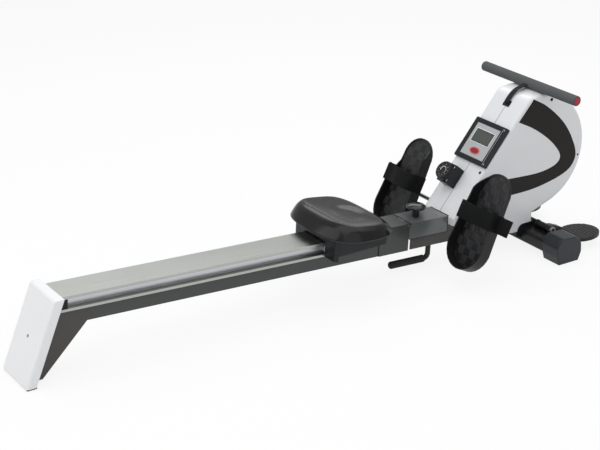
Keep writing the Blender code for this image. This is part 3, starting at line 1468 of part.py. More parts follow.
def make_pedal_strap(name, side):
    """Webbing from the inner wall over the foot to the outer wall, with a loose end."""
    frame = moved(pedal_frame(side), x=PEDAL_STRAP_AHEAD)
    edge = sole_half_width(PEDAL_STRAP_AHEAD) + GAP + PEDAL_STRAP_THICKNESS / 2
    low = SOLE_RISE - 0.004
    rise = SOLE_RISE + PEDAL_STRAP_RISE
    over = [
        (-edge, low),
        (-edge, SOLE_RISE + 0.030),
        (-edge + 0.006, rise - 0.008),
        (-edge + 0.026, rise),
        (0, rise - 0.003),
        (0.040, rise - 0.014),
        (edge - 0.003, SOLE_RISE + 0.042),
        (edge, SOLE_RISE + 0.035),
        (edge, SOLE_RISE + 0.020),
        (edge, low),
    ]
    tail = [
        (edge, SOLE_RISE + 0.012),
        (edge + 0.012, SOLE_RISE + 0.008),
        (edge + 0.028, SOLE_RISE + 0.003),
        (edge + 0.044, SOLE_RISE - 0.003),
    ]
    half = PEDAL_STRAP_WIDTH / 2
    outward = side
    over = [(outward * y, z) for y, z in smooth_path(over, 3)]
    tail = [(outward * y, z) for y, z in smooth_path(tail, 2)]
    thickness = PEDAL_STRAP_THICKNESS
    strap = slab(name, WEBBING, frame, ribbon(over, thickness), -half, half, "X")
    tail_half = half - 0.001
    loose_end = slab(f"{name}_tail", WEBBING, frame, ribbon(tail, thickness), -tail_half, tail_half, "X")
    return weld(strap, loose_end)


def sole_half_width(x):
    """Half of the sole's width at a place along it, between the two round ends."""
    toe_x = TOE_LENGTH - TOE_WIDTH / 2
    heel_x = -HEEL_LENGTH + HEEL_WIDTH / 2
    share = (TOE_WIDTH - HEEL_WIDTH) / 2 / (toe_x - heel_x)
    along = (x - heel_x) * share
    return (HEEL_WIDTH / 2 + along + PEDAL_STRAP_WIDTH / 2 * abs(share)) / sqrt(1 - share**2)


def make_pedal_axle():
    reach = PEDAL_SIDE + 0.036
    return world_rod("pedal_axle", PEDAL_X, PEDAL_AXLE_Z, -reach, reach, PEDAL_AXLE_RADIUS, BARE_STEEL)


# Front stabiliser and foot plates


def make_stabiliser():
    """A flat-bottomed tube across the front, with a collar that takes the front frame."""
    rear, front = TUBE_REAR_X, TUBE_REAR_X + TUBE_WIDTH
    low, top = TUBE_LIFT, TUBE_LIFT + TUBE_HEIGHT
    outer = rounded([(rear, low, 0.008), (front, low, 0.008), (front, top, 0.018), (rear, top, 0.018)])
    wall = TUBE_WALL
    inner = rounded(
        [
            (rear + wall, low + wall, 0.0055),
            (front - wall, low + wall, 0.0055),
            (front - wall, top - wall, 0.0155),
            (rear + wall, top - wall, 0.0155),
        ]
    )
    half = FOOT_INNER_Y - GAP
    tube = slab("stabiliser_tube", STEEL, WORLD, outer, -half, half, holes=[inner])
    collar = rounded(
        [
            (COLLAR_REAR_X, 0.048, 0),
            (rear + 0.020, 0.030, 0),
            (rear + 0.020, low + wall / 2, 0),
            (rear + 0.050, low + wall / 2, 0),
            (rear + 0.050, top - wall / 2, 0),
            (front - 0.022, top - wall / 2, 0),
            (front - 0.034, COLLAR_HEIGHT, 0.012),
            (COLLAR_REAR_X, COLLAR_HEIGHT, 0.022),
        ]
    )
    weld(tube, slab("collar", STEEL, WORLD, collar, -COLLAR_HALF_WIDTH, COLLAR_HALF_WIDTH))
    for side, sign in (("left", 1), ("right", -1)):
        for place_name, y in (("inner", STEP_SIDE - 0.056), ("outer", STEP_SIDE + 0.008)):
            low_y, high_y = sorted((sign * y, sign * (y + 0.008)))
            lug = slab(f"lug_{place_name}_{side}", STEEL, WORLD, lug_outline(top), low_y, high_y)
            weld(tube, lug)
        ends = sorted((sign * 0.06, sign * (STEP_SIDE + 0.03)))
        hole = STEP_PIN_RADIUS + GAP
        cut(tube, world_rod(f"step_pin_hole_{side}", STEP_PIN_X, STEP_PIN_Z, *ends, hole))
    return tube


def lug_outline(top):
    """A tab that stands on the tube and is round about the pin."""
    radius = STEP_HUB_RADIUS
    foot = top - TUBE_WALL / 2
    left, right = STEP_PIN_X - radius, STEP_PIN_X + radius
    return [(left, foot), (right, foot), *arc((STEP_PIN_X, STEP_PIN_Z), radius, 0, pi, 8)]


def make_stabiliser_cap(name, side):
    """A moulded foot with bulging sides and rounded end, plugged into the tube."""
    centre = TUBE_REAR_X + TUBE_WIDTH / 2
    half = FOOT_WIDTH / 2
    height = FOOT_HEIGHT
    outline = rounded(
        [
            (centre - half + 0.011, 0, 0.004),
            (centre + half - 0.012, 0, 0.004),
            (centre + half, 0.030, 0.020),
            (centre + half - 0.002, 0.062, 0.020),
            (centre + half - 0.022, height - 0.004, 0.018),
            (centre - half + 0.020, height, 0.018),
            (centre - half, 0.060, 0.020),
            (centre - half + 0.002, 0.030, 0.020),
        ],
        3,
    )
    outer_y = STABILISER_LENGTH / 2
    low, high = sorted((side * FOOT_INNER_Y, side * outer_y))
    cap = slab(name, GREY, WORLD, outline, low, high)
    bevel_edges(cap, lambda co: abs(abs(co.y) - outer_y) < 0.00005, 0.014, 3)
    wall = TUBE_WALL + GAP
    rear, front = TUBE_REAR_X + wall, TUBE_REAR_X + TUBE_WIDTH - wall
    bottom, top = TUBE_LIFT + wall, TUBE_LIFT + TUBE_HEIGHT - wall
    low_round, top_round = 0.0052, 0.0152
    plug = rounded(
        [
            (rear, bottom, low_round),
            (front, bottom, low_round),
            (front, top, top_round),
            (rear, top, top_round),
        ]
    )
    low, high = sorted((side * (FOOT_INNER_Y - 0.020), side * (FOOT_INNER_Y + 0.004)))
    return smooth(weld(cap, slab(f"{name}_plug", GREY, WORLD, plug, low, high)))


def make_step_plate(name, side):
    """An oval foot plate on an arm, with its hub between the two lugs."""
    frame = Matrix.Translation((STEP_PIN_X, side * STEP_SIDE, STEP_PIN_Z))
    tip = OVERALL_LENGTH / 2 - STEP_PIN_X
    low = STEP_Z - STEP_PIN_Z
    outline = [(tip - STEP_LENGTH / 2 + a, b) for a, b in oval(STEP_LENGTH, STEP_WIDTH, 32)]
    plate = slab(name, BLACK, frame, outline, low, low + STEP_THICKNESS, "Z")
    bevel_edges(plate, lambda co: abs(co.z - low - STEP_THICKNESS) < 0.00005, 0.0025, 2)
    hub_radius = 0.0115
    near = tip - STEP_LENGTH
    tube_front = TUBE_REAR_X + TUBE_WIDTH - STEP_PIN_X
    arm = rounded(
        [
            (0, hub_radius - 0.0003, 0),
            (0, -hub_radius + 0.0003, 0),
            (tube_front - 0.008, -hub_radius + 0.0003, 0),
            (tube_front + 0.001, -0.019, 0),
            (tube_front + 0.002, low + 0.001, 0.002),
            (near + 0.030, low + 0.001, 0),
            (near + 0.030, low + STEP_THICKNESS - 0.001, 0),
            (near + 0.002, low + STEP_THICKNESS + 0.006, 0.010),
            (near - 0.008, -0.006, 0.008),
            (0.020, 0.0075, 0.008),
        ],
        3,
    )
    inner = -side * 0.018
    outer = side * 0.005
    low_y, high_y = sorted((inner, outer))
    weld(plate, slab(f"{name}_arm", BLACK, frame, arm, low_y, high_y))
    hub_low, hub_high = sorted((-side * (0.048 - GAP), side * (0.008 - GAP)))
    weld(plate, rod(f"{name}_hub", BLACK, frame, (0, hub_low, 0), (0, hub_high, 0), hub_radius))
    bore = STEP_PIN_RADIUS + STUD_GAP
    return cut(plate, rod(f"{name}_bore", BLACK, frame, (0, -0.08, 0), (0, 0.08, 0), bore))


def make_step_pin(name, side):
    """A pin with a washer at its outer end."""
    inner, outer = STEP_SIDE - 0.058, STEP_SIDE + 0.016 + GAP
    profile = [
        (0, outer + 0.006),
        (STEP_PIN_RADIUS, outer + 0.006),
        (STEP_PIN_RADIUS, outer + 0.003),
        (WASHER_RADIUS, outer + 0.003),
        (WASHER_RADIUS, outer),
        (STEP_PIN_RADIUS, outer),
        (STEP_PIN_RADIUS, inner),
        (0, inner),
    ]
    frame = Matrix.Translation((STEP_PIN_X, 0, STEP_PIN_Z))
    if side < 0:
        frame = frame @ Matrix.Rotation(pi, 4, "Z")
    return turned(name, BARE_STEEL, frame, profile, 20)


# Assembly


def build_frame():
    make_front_frame()
    make_frame_cover()
    make_fold_pin()
    make_stabiliser()
    make_pedal_axle()
    for side, sign in (("left", 1), ("right", -1)):
        make_stabiliser_cap(f"stabiliser_cap_{side}", sign)
        make_casing_half(f"casing_{side}", sign)
        make_step_pin(f"step_pin_{side}", sign)


def build_console():
    make_console_bezel()
    make_console_panel()
    make_console_window()
    make_console_board()
    carry(joint_empty("button_press_axis", moved(panel_frame(), x=-BUTTON_DOWN)), make_console_button())


def build_tension():
    make_tension_base()
    make_tension_cable()
    carry(joint_empty("tension_turn_axis", tension_frame()), make_tension_knob())


def build_drive():
    make_bearings()
    make_drum_axle()
    make_recoil_spring()
    make_drive_belt()
    flywheel = Matrix.Translation((FLYWHEEL_X, 0, FLYWHEEL_Z))
    carry(joint_empty("flywheel_spin_axis", flywheel), make_flywheel(), make_flywheel_axle())
    drum = Matrix.Translation((DRUM_X, 0, DRUM_Z))
    carry(joint_empty("drum_spin_axis", drum), make_strap_drum(), make_wound_strap())
    make_guide_roller()
    make_magnet_bracket()


def build_handle():
    frame = Matrix.Translation((HANDLE_X, 0, HANDLE_Z))
    carry(joint_empty("handle_pull_axis", frame), make_pull_strap(), *make_handle())


def build_pedals():
    for side, sign in (("left", 1), ("right", -1)):
        pieces = make_pedal(f"pedal_{side}", sign), make_pedal_strap(f"pedal_strap_{side}", sign)
        carry(joint_empty(f"pedal_{side}_axis", pedal_frame(sign)), *pieces)
        frame = Matrix.Translation((STEP_PIN_X, sign * STEP_SIDE, STEP_PIN_Z))
        carry(joint_empty(f"step_{side}_axis", frame), make_step_plate(f"step_plate_{side}", sign))


def build_fold():
    make_fold_knob()
    make_fold_lever()


def build_rail():
    hinge = joint_empty("rail_fold_axis", moved(BOOM, z=-HINGE_RADIUS))
    leg = [make_rear_leg(), make_rear_cap(), make_rear_pad()]
    carry(hinge, make_rail(), make_rail_beam(), make_rail_bracket(), *leg, *make_rail_stops())
    slide = joint_empty("seat_slide_axis", seat_frame_origin())
    carry(slide, make_seat_cushion(), make_seat_carriage(), make_seat_frame(), *make_rollers())
    carry(hinge, slide)


build_frame()
build_console()
build_tension()
build_drive()
build_handle()
build_pedals()
build_fold()
build_rail()
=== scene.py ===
from math import atan2, cos, pi, radians, sin, sqrt

import bmesh
import bpy
import numpy as np
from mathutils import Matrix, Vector


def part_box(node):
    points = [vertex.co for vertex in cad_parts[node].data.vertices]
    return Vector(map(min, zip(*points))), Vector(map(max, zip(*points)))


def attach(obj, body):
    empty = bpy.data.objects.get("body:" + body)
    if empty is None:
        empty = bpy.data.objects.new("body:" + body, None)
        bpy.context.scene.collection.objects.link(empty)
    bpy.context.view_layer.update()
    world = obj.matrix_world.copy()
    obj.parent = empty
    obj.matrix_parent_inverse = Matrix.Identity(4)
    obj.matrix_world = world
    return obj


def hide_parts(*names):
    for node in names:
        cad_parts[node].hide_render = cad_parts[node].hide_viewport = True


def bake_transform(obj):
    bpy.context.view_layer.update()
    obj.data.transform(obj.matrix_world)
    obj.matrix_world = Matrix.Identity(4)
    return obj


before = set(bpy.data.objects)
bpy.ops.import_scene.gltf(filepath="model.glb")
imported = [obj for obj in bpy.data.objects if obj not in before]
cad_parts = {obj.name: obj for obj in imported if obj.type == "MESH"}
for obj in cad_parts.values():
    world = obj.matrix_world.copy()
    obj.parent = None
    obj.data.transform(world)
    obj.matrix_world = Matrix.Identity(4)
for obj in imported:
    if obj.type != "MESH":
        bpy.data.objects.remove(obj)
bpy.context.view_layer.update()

# Working frames: the boom's top face at the fold, the casing's sloping front, each foot rest's axle


def axes(origin, along, up):
    """A frame with this origin, X along, Z up and Y square to both."""
    made = np.eye(4)
    made[:3, 0], made[:3, 1], made[:3, 2] = along, np.cross(up, along), up
    made[:3, 3] = origin
    return made


def moved(matrix, x=0.0, y=0.0, z=0.0):
    """The frame shifted along its own axes."""
    made = matrix.copy()
    made[:3, 3] += matrix[:3, :3] @ (x, y, z)
    return made


def placed(points, matrix):
    """Points of the frame as points of the machine."""
    return points @ matrix[:3, :3].T + matrix[:3, 3]


def middle(node):
    low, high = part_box(node)
    return (np.array(low) + np.array(high)) / 2


def tilted(angle):
    """The two directions of a frame that leans by this angle: along the slope, and out of it."""
    return np.array([cos(angle), 0, sin(angle)]), np.array([-sin(angle), 0, cos(angle)])


WORLD = np.eye(4)
SIDE_VIEW = axes((0, 0, 0), (1, 0, 0), (0, -1, 0))  # outlines drawn in x and z, thickness towards -Y
BOOM_SLOPE = radians(-3.0)
HINGE_RADIUS = 0.0065
BOOM_ALONG, BOOM_UP = tilted(BOOM_SLOPE)
BOOM = axes(middle("fold_pin") + HINGE_RADIUS * BOOM_UP, BOOM_ALONG, BOOM_UP)
WHEEL = middle("flywheel") * (1, 0, 1)
FACE_DISTANCE = 0.161
FACE_UP, FACE_OUT = tilted(radians(50.45))
FACE = axes(WHEEL + FACE_DISTANCE * FACE_OUT, FACE_UP, FACE_OUT)
PEDAL_UP, PEDAL_OUT = tilted(radians(63.5))
SIDES = (("left", 1), ("right", -1))

# Sizes shared with the solids
CASING_RADIUS = 0.197
CASING_HALF = 0.080
CASING_ROUND = 0.012
SEAT_BEHIND_FOLD, SEAT_RIM = 0.238, 0.0298
CONSOLE_DOWN, CONSOLE_LENGTH, CONSOLE_WIDTH, CONSOLE_TOP = 0.0765, 0.147, 0.158, 0.0083
PANEL_LENGTH, PANEL_WIDTH, PANEL_SIDE, PANEL_TOP = 0.114, 0.112, 0.004, 0.0073
LENS_LENGTH, LENS_WIDTH, LENS_UP = 0.046, 0.086, 0.0155
BUTTON_LENGTH, BUTTON_WIDTH, BUTTON_DOWN = 0.0170, 0.0370, 0.0345
SLOT_UP, SLOT_LENGTH, SLOT_WIDTH = 0.076, 0.020, 0.029
TENSION_DOWN, TENSION_SIDE = 0.219, 0.026
TENSION_BASE_LENGTH, TENSION_BASE_WIDTH, TENSION_BASE_HEIGHT = 0.068, 0.050, 0.042
DIAL_RADIUS, DIAL_HEIGHT = 0.032, 0.019
HANDLE_RADIUS, HANDLE_TUBE_RADIUS, HANDLE_HALF = 0.0165, 0.012, 0.2275
SOLE_RISE, TOE_LENGTH, HEEL_LENGTH, TOE_RADIUS, HEEL_RADIUS = 0.020, 0.174, 0.150, 0.067, 0.080
PEDAL_WALL, TREAD_SQUARE, TREAD_RIB = 0.005, 0.026, 0.0030
PEDAL_STRAP_AHEAD, PEDAL_STRAP_WIDTH, PEDAL_STRAP_THICKNESS, PEDAL_STRAP_RISE = 0.029, 0.056, 0.0024, 0.058
STRAP_WIDTH, STRAP_THICKNESS, ROLLER_RADIUS, COIL_RADIUS = 0.021, 0.0016, 0.0143, 0.0443
KNOB_AHEAD, KNOB_RADIUS, KNOB_STAND, KNOB_HEIGHT = 0.057, 0.032, 0.023, 0.022
LEVER_AHEAD, LEVER_SIDE, LEVER_DROP, LEVER_LENGTH, LEVER_RADIUS = 0.097, 0.026, 0.049, 0.153, 0.0085
BOOM_WIDTH, BOOM_HEIGHT = 0.092, 0.0913
COVER_LENGTH, COVER_DEPTH = 0.154, 0.054
STEP_LENGTH, STEP_WIDTH, STEP_TOP, STEP_BARS = 0.150, 0.124, 0.042, 0.056
RAIL_WEB_HALF, RAIL_CHANNEL, RAIL_CHANNEL_MIDDLE, RAIL_FRONT = 0.038, 0.0293, -0.02365, -0.1153
CAP_DEPTH, CAP_LEAN, CAP_FOOT = 0.040, 0.101, 0.0057

# Curves and outlines


def through(points, steps):
    """A smooth curve through points, by Catmull and Rom's cubic, with so many steps to a span."""
    points = np.asarray(points, float)
    p = np.vstack([2 * points[0] - points[1], points, 2 * points[-1] - points[-2]])
    t = np.linspace(0, 1, steps, endpoint=False)[None, :, None]
    a, b, c, d = (p[i : len(p) - 3 + i, None] for i in range(4))
    curve = 2 * b + (c - a) * t + (2 * a - 5 * b + 4 * c - d) * t**2 + (3 * b - a - 3 * c + d) * t**3
    return np.vstack([curve.reshape(-1, p.shape[1]) / 2, points[-1:]])


def circle(radius, count, start=0.0, turn=2 * pi, centre=(0, 0), ends=False):
    """Points on a circle or an arc of it."""
    angle = start + turn * np.linspace(0, 1, count, endpoint=ends)
    return np.array(centre) + radius * np.stack([np.cos(angle), np.sin(angle)], -1)


def rounded(corners, steps, closed=True):
    """Corners of (a, b, radius), each replaced by an arc that touches both its sides."""
    corners = np.asarray(corners, float)
    unit = lambda v: v / np.linalg.norm(v)
    points = []
    for i, (a, b, radius) in enumerate(corners):
        here = np.array([a, b])
        if radius <= 0 or (not closed and i in (0, len(corners) - 1)):
            points.append(here[None])
            continue
        back = unit(corners[i - 1, :2] - here)
        ahead = unit(corners[(i + 1) % len(corners), :2] - here)
        half = np.arccos(np.clip(back @ ahead, -1, 1)) / 2
        centre = here + unit(back + ahead) * radius / sin(half)
        first = here + back * radius / np.tan(half) - centre
        last = here + ahead * radius / np.tan(half) - centre
        start = atan2(first[1], first[0])
        sweep = (atan2(last[1], last[0]) - start + pi) % (2 * pi) - pi
        points.append(circle(radius, steps + 1, start, sweep, centre, ends=True))
    return np.vstack(points)


def rectangle(length, width, radius, steps=5, centre=(0, 0)):
    """A rectangle with round corners, length along the first axis."""
    signs = ((-1, -1), (1, -1), (1, 1), (-1, 1))
    corners = [(centre[0] + a * length / 2, centre[1] + b * width / 2, radius) for a, b in signs]
    return rounded(corners, steps)


def superellipse(half_x, half_y, power, count):
    """Points where |x / half_x| and |y / half_y|, raised to 2 / power, add up to 1."""
    angle = np.arange(count) * 2 * pi / count
    bend = lambda wave: np.sign(wave) * np.abs(wave) ** power
    return np.stack([half_x * bend(np.cos(angle)), half_y * bend(np.sin(angle))], -1)


def inset(outline, distance):
    """A closed outline drawn in: each corner slides along its mitre."""
    ahead = np.roll(outline, -1, 0) - outline
    area = np.sum(outline[:, 0] * np.roll(outline[:, 1], -1) - np.roll(outline[:, 0], -1) * outline[:, 1])
    normal = np.stack([-ahead[:, 1], ahead[:, 0]], -1) * np.sign(area)
    normal /= np.linalg.norm(normal, axis=1, keepdims=True)
    before = np.roll(normal, 1, 0)
    mitre = (before + normal) / (1 + np.sum(before * normal, 1, keepdims=True))
    return outline + distance * mitre


def at_height(outline, height):
    return np.column_stack([outline, np.full(len(outline), height)])


def upright(points):
    """Points of (along, above) on the middle plane of a frame."""
    return np.column_stack([points[:, 0], np.zeros(len(points)), points[:, 1]])


def quarter(radius, steps):
    """Draw-in and rise of a rounded edge, from its outer side to its top, along a quarter circle."""
    turn = np.linspace(0, pi / 2, steps + 1)
    return np.stack([radius * (1 - np.cos(turn)), radius * np.sin(turn)], -1)


def plate(outline, low, high, edge=0.0, steps=2):
    """Rings of a plate: its outline rises from low to high, drawn in along a quarter circle at the top."""
    top = [(draw, high - edge + rise) for draw, rise in quarter(edge, steps)] if edge else [(0, high)]
    return np.stack([at_height(inset(outline, draw), height) for draw, height in [(0, low), *top]])


def window_frame(outer, inner, low, high, edge, steps=3):
    """Rings of a frame round an opening: up its outer side, over its rounded top and down its inner side."""
    up = plate(outer, low, high, edge, steps)
    lip = [at_height(inset(inner, -draw), high - edge + rise) for draw, rise in quarter(edge, steps)[::-1]]
    return np.concatenate([up, lip, at_height(inner, low)[None]])


def turned(profile, steps=64):
    """A profile of (radius, height) turned about the frame's Z: the radius goes round, the height stays."""
    radius, height = np.asarray(profile, float).T[:, :, None]
    angle = np.arange(steps) * 2 * pi / steps
    x, y = radius * np.cos(angle), radius * np.sin(angle)
    return np.stack([x, y, height + 0 * x], -1)


def carried(section, path, side=(0, 1, 0), loop=False):
    """A section of (across, above) on a path: across runs along side, above is square to it and the path."""
    path = np.asarray(path, float)
    run = np.roll(path, -1, 0) - np.roll(path, 1, 0) if loop else np.gradient(path, axis=0)
    above = np.cross(run, side)
    above /= np.linalg.norm(above, axis=1, keepdims=True)
    across = np.cross(above, run)
    across /= np.linalg.norm(across, axis=1, keepdims=True)
    return path[:, None] + section[None, :, :1] * across[:, None] + section[None, :, 1:] * above[:, None]


def soft_step(value):
    """0 below 0, 1 above 1, and smooth between."""
    value = np.clip(value, 0, 1)
    return value * value * (3 - 2 * value)


def along_line(corners, steps):
    """Points at equal shares along each straight run between corners."""
    corners = np.asarray(corners, float)
    share = np.linspace(0, 1, steps, endpoint=False)[None, :, None]
    runs = corners[:-1, None] * (1 - share) + corners[1:, None] * share
    return np.vstack([runs.reshape(-1, corners.shape[1]), corners[-1:]])


# Meshes

MERGE_WITHIN = 0.000001


def grid_mesh(name, points, closed, caps, size):
    """Quads between the neighbours of a grid of points, with a flat face on each end ring.

    The UV map runs round the rings and along them, goes on past the seam, and spans size.
    """
    rows, columns = points.shape[:2]
    r, c = np.meshgrid(np.arange(rows - 1 + closed[0]), np.arange(columns - 1 + closed[1]), indexing="ij")
    corners = np.stack([np.stack([r + a, c + b], -1) for a, b in ((0, 0), (0, 1), (1, 1), (1, 0))], 2)
    corners = corners.reshape(-1, 2)
    index = corners[:, 0] % rows * columns + corners[:, 1] % columns
    uv = corners[:, ::-1] / (columns - 1 + closed[1], rows - 1 + closed[0]) * size
    counts = np.full(len(index) // 4, 4)
    if caps:
        ring = np.arange(columns)
        index = np.concatenate([index, ring[::-1], ring + (rows - 1) * columns])
        uv = np.vstack([uv, np.zeros((2 * columns, 2))])
        counts = np.concatenate([counts, [columns, columns]])
    mesh = bpy.data.meshes.new(name)
    mesh.vertices.add(rows * columns)
    mesh.vertices.foreach_set("co", points.reshape(-1).astype(np.float32))
    mesh.loops.add(len(index))
    mesh.loops.foreach_set("vertex_index", index.astype(np.int32))
    mesh.polygons.add(len(counts))
    mesh.polygons.foreach_set("loop_start", (np.cumsum(counts) - counts).astype(np.int32))
    mesh.uv_layers.new(name="UVMap").data.foreach_set("uv", uv.reshape(-1).astype(np.float32))
    mesh.update(calc_edges=True)
    return mesh


def dressed(name, mesh, material, body, slot, stands_for=(), sharp=35.0):
    """A mesh as a piece of the machine: doubles merged, faces turned out, shaded, riding on its body."""
    shape = bmesh.new()
    shape.from_mesh(mesh)
    bmesh.ops.remove_doubles(shape, verts=shape.verts, dist=MERGE_WITHIN)
    bmesh.ops.recalc_face_normals(shape, faces=shape.faces)
    shape.to_mesh(mesh)
    shape.free()
    mesh.shade_smooth()
    mesh.set_sharp_from_angle(angle=radians(sharp))
    mesh.materials.clear()
    mesh.materials.append(material)
    piece = bpy.data.objects.new(name, mesh)
    bpy.context.scene.collection.objects.link(piece)
    if body:
        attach(piece, body)
    if stands_for:
        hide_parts(*stands_for)
    return piece


def surface(name, points, matrix, material, body, slot, closed=(False, True), caps=True, size=(1, 1), **more):
    """A grid of points in a frame as a finished piece."""
    mesh = grid_mesh(name, placed(points, matrix), closed, caps, size)
    return dressed(name, mesh, material, body, slot, **more)


def looped(name, points, matrix, material, body, slot, **more):
    """A surface that closes on itself both ways, as a frame or a ring does."""
    return surface(name, points, matrix, material, body, slot, closed=(True, True), caps=False, **more)


def webbing_band(name, path, width, thickness, matrix, material, body, side=(0, 1, 0), stands_for=()):
    """Flat webbing along a path. Its UV map spans its girth and its length in metres, for the weave."""
    section = rectangle(width, thickness, thickness * 0.45, 3)
    length = np.sum(np.linalg.norm(np.diff(path, axis=0), axis=1))
    girth = 2 * (width + thickness)
    return surface(name, carried(section, path, side), matrix, material, body, "webbing",
                   size=(girth, length), stands_for=stands_for, sharp=50)


def smooth_by_angle(angle):
    """A geometry group that smooths every face and keeps the edges sharper than the angle."""
    group = bpy.data.node_groups.new("smooth_by_angle", "GeometryNodeTree")
    for direction in ("INPUT", "OUTPUT"):
        group.interface.new_socket("Geometry", in_out=direction, socket_type="NodeSocketGeometry")
    nodes, links = group.nodes, group.links
    start, end = nodes.new("NodeGroupInput"), nodes.new("NodeGroupOutput")
    faces, edges = nodes.new("GeometryNodeSetShadeSmooth"), nodes.new("GeometryNodeSetShadeSmooth")
    edges.domain = "EDGE"
    edges.inputs["Shade Smooth"].default_value = False
    bend, compare = nodes.new("GeometryNodeInputMeshEdgeAngle"), nodes.new("FunctionNodeCompare")
    compare.inputs[1].default_value = angle
    links.new(start.outputs[0], faces.inputs["Geometry"])
    links.new(faces.outputs["Geometry"], edges.inputs["Geometry"])
    links.new(bend.outputs["Unsigned Angle"], compare.inputs[0])
    links.new(compare.outputs["Result"], edges.inputs["Selection"])
    links.new(edges.outputs["Geometry"], end.inputs[0])
    return group


SMOOTH = smooth_by_angle(radians(33))


def crisp(node, material, edge):
    """Gives a CAD node its finish, welds its triangles, breaks its sharp edges and smooths the rest."""
    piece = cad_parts[node]
    piece.data.polygons.foreach_set("use_smooth", np.ones(len(piece.data.polygons), bool))
    piece.data.materials.clear()
    piece.data.materials.append(material)
    piece.modifiers.new("weld", "WELD").merge_threshold = 0.00001
    flat = piece.modifiers.new("join_flat_faces", "DECIMATE")
    flat.decimate_type = "DISSOLVE"
    flat.angle_limit = radians(0.5)
    if edge:
        broken = piece.modifiers.new("broken_edges", "BEVEL")
        broken.width = edge
        broken.segments = 2
        broken.angle_limit = radians(38)
    piece.modifiers.new("smooth", "NODES").node_group = SMOOTH
    piece.modifiers.new("even_shading", "WEIGHTED_NORMAL").keep_sharp = True


# Shader groups

SURFACE_OUTPUTS = {"Colour": "colour", "Roughness": "number", "Normal": "vector"}


def shader_group(name, inputs, outputs):
    """A shader node group with named sockets, and its two end nodes."""
    group = bpy.data.node_groups.new(name, "ShaderNodeTree")
    kinds = {"colour": "NodeSocketColor", "number": "NodeSocketFloat", "vector": "NodeSocketVector"}
    for label, kind in inputs.items():
        group.interface.new_socket(label, in_out="INPUT", socket_type=kinds[kind])
    for label, kind in outputs.items():
        group.interface.new_socket(label, in_out="OUTPUT", socket_type=kinds[kind])
    return group, group.nodes.new("NodeGroupInput").outputs, group.nodes.new("NodeGroupOutput").inputs


def add(tree, kind, inputs=(), **settings):
    """A node with its settings, and its sockets linked or set by name or number."""
    made = tree.nodes.new("ShaderNode" + kind)
    for key, value in settings.items():
        setattr(made, key, value)
    for key, value in dict(inputs).items():
        if isinstance(value, bpy.types.NodeSocket):
            tree.links.new(value, made.inputs[key])
        else:
            made.inputs[key].default_value = value
    return made


def calculate(tree, operation, *values):
    return add(tree, "Math", dict(enumerate(values)), operation=operation).outputs[0]


def swing(tree, noise, spread):
    """Noise from 0 to 1 made to swing by the spread to each side of 0."""
    centred = calculate(tree, "SUBTRACT", noise, 0.5)
    return calculate(tree, "MULTIPLY", calculate(tree, "MULTIPLY", centred, 2.0), spread)


def shaded(tree, colour, change):
    """The colour made lighter or darker by a change about 0."""
    scale = calculate(tree, "ADD", change, 1.0)
    return add(tree, "VectorMath", {0: colour, "Scale": scale}, operation="SCALE").outputs[0]


def bump(tree, height, depth):
    return add(tree, "Bump", {"Height": height, "Distance": depth, "Strength": 1.0}).outputs["Normal"]


def moulded_group():
    """Cloudy shade and gloss over a fine grain, for mouldings, paint, rubber and foam."""
    numbers = ("Shade Spread", "Roughness", "Roughness Spread", "Grain Size", "Grain Depth")
    inputs = {"Colour": "colour"} | dict.fromkeys(numbers, "number")
    group, start, end = shader_group("moulded_grain", inputs, SURFACE_OUTPUTS)
    where = add(group, "TexCoord").outputs["Object"]
    clouds = add(group, "TexNoise", {"Vector": where, "Scale": 14.0, "Detail": 3.0}).outputs["Fac"]
    links = group.links
    links.new(shaded(group, start["Colour"], swing(group, clouds, start["Shade Spread"])), end["Colour"])
    gloss = calculate(group, "ADD", start["Roughness"], swing(group, clouds, start["Roughness Spread"]))
    links.new(gloss, end["Roughness"])
    scale = calculate(group, "DIVIDE", 1.0, start["Grain Size"])
    grain = add(group, "TexNoise", {"Vector": where, "Scale": scale, "Detail": 2.0}).outputs["Fac"]
    links.new(bump(group, grain, start["Grain Depth"]), end["Normal"])
    return group


def brushed_group():
    """Fine lines along the boom, for extruded and turned metal."""
    inputs = {"Colour": "colour"} | dict.fromkeys(("Roughness", "Lines", "Line Depth"), "number")
    group, start, end = shader_group("brushed_lines", inputs, SURFACE_OUTPUTS)
    where = add(group, "TexCoord").outputs["Object"]
    turned_back = add(group, "Mapping", {"Vector": where, "Rotation": (0, BOOM_SLOPE, 0)}).outputs["Vector"]
    stretch = add(group, "CombineXYZ", {"X": 2.0, "Y": start["Lines"], "Z": start["Lines"]}).outputs["Vector"]
    drawn = add(group, "VectorMath", {0: turned_back, 1: stretch}, operation="MULTIPLY").outputs[0]
    lines = add(group, "TexNoise", {"Vector": drawn, "Scale": 1.0, "Detail": 4.0}).outputs["Fac"]
    clouds = add(group, "TexNoise", {"Vector": where, "Scale": 5.0, "Detail": 2.0}).outputs["Fac"]
    links = group.links
    both = calculate(group, "ADD", swing(group, lines, 0.10), swing(group, clouds, 0.06))
    links.new(shaded(group, start["Colour"], both), end["Colour"])
    links.new(calculate(group, "ADD", start["Roughness"], swing(group, lines, 0.12)), end["Roughness"])
    links.new(bump(group, lines, start["Line Depth"]), end["Normal"])
    return group


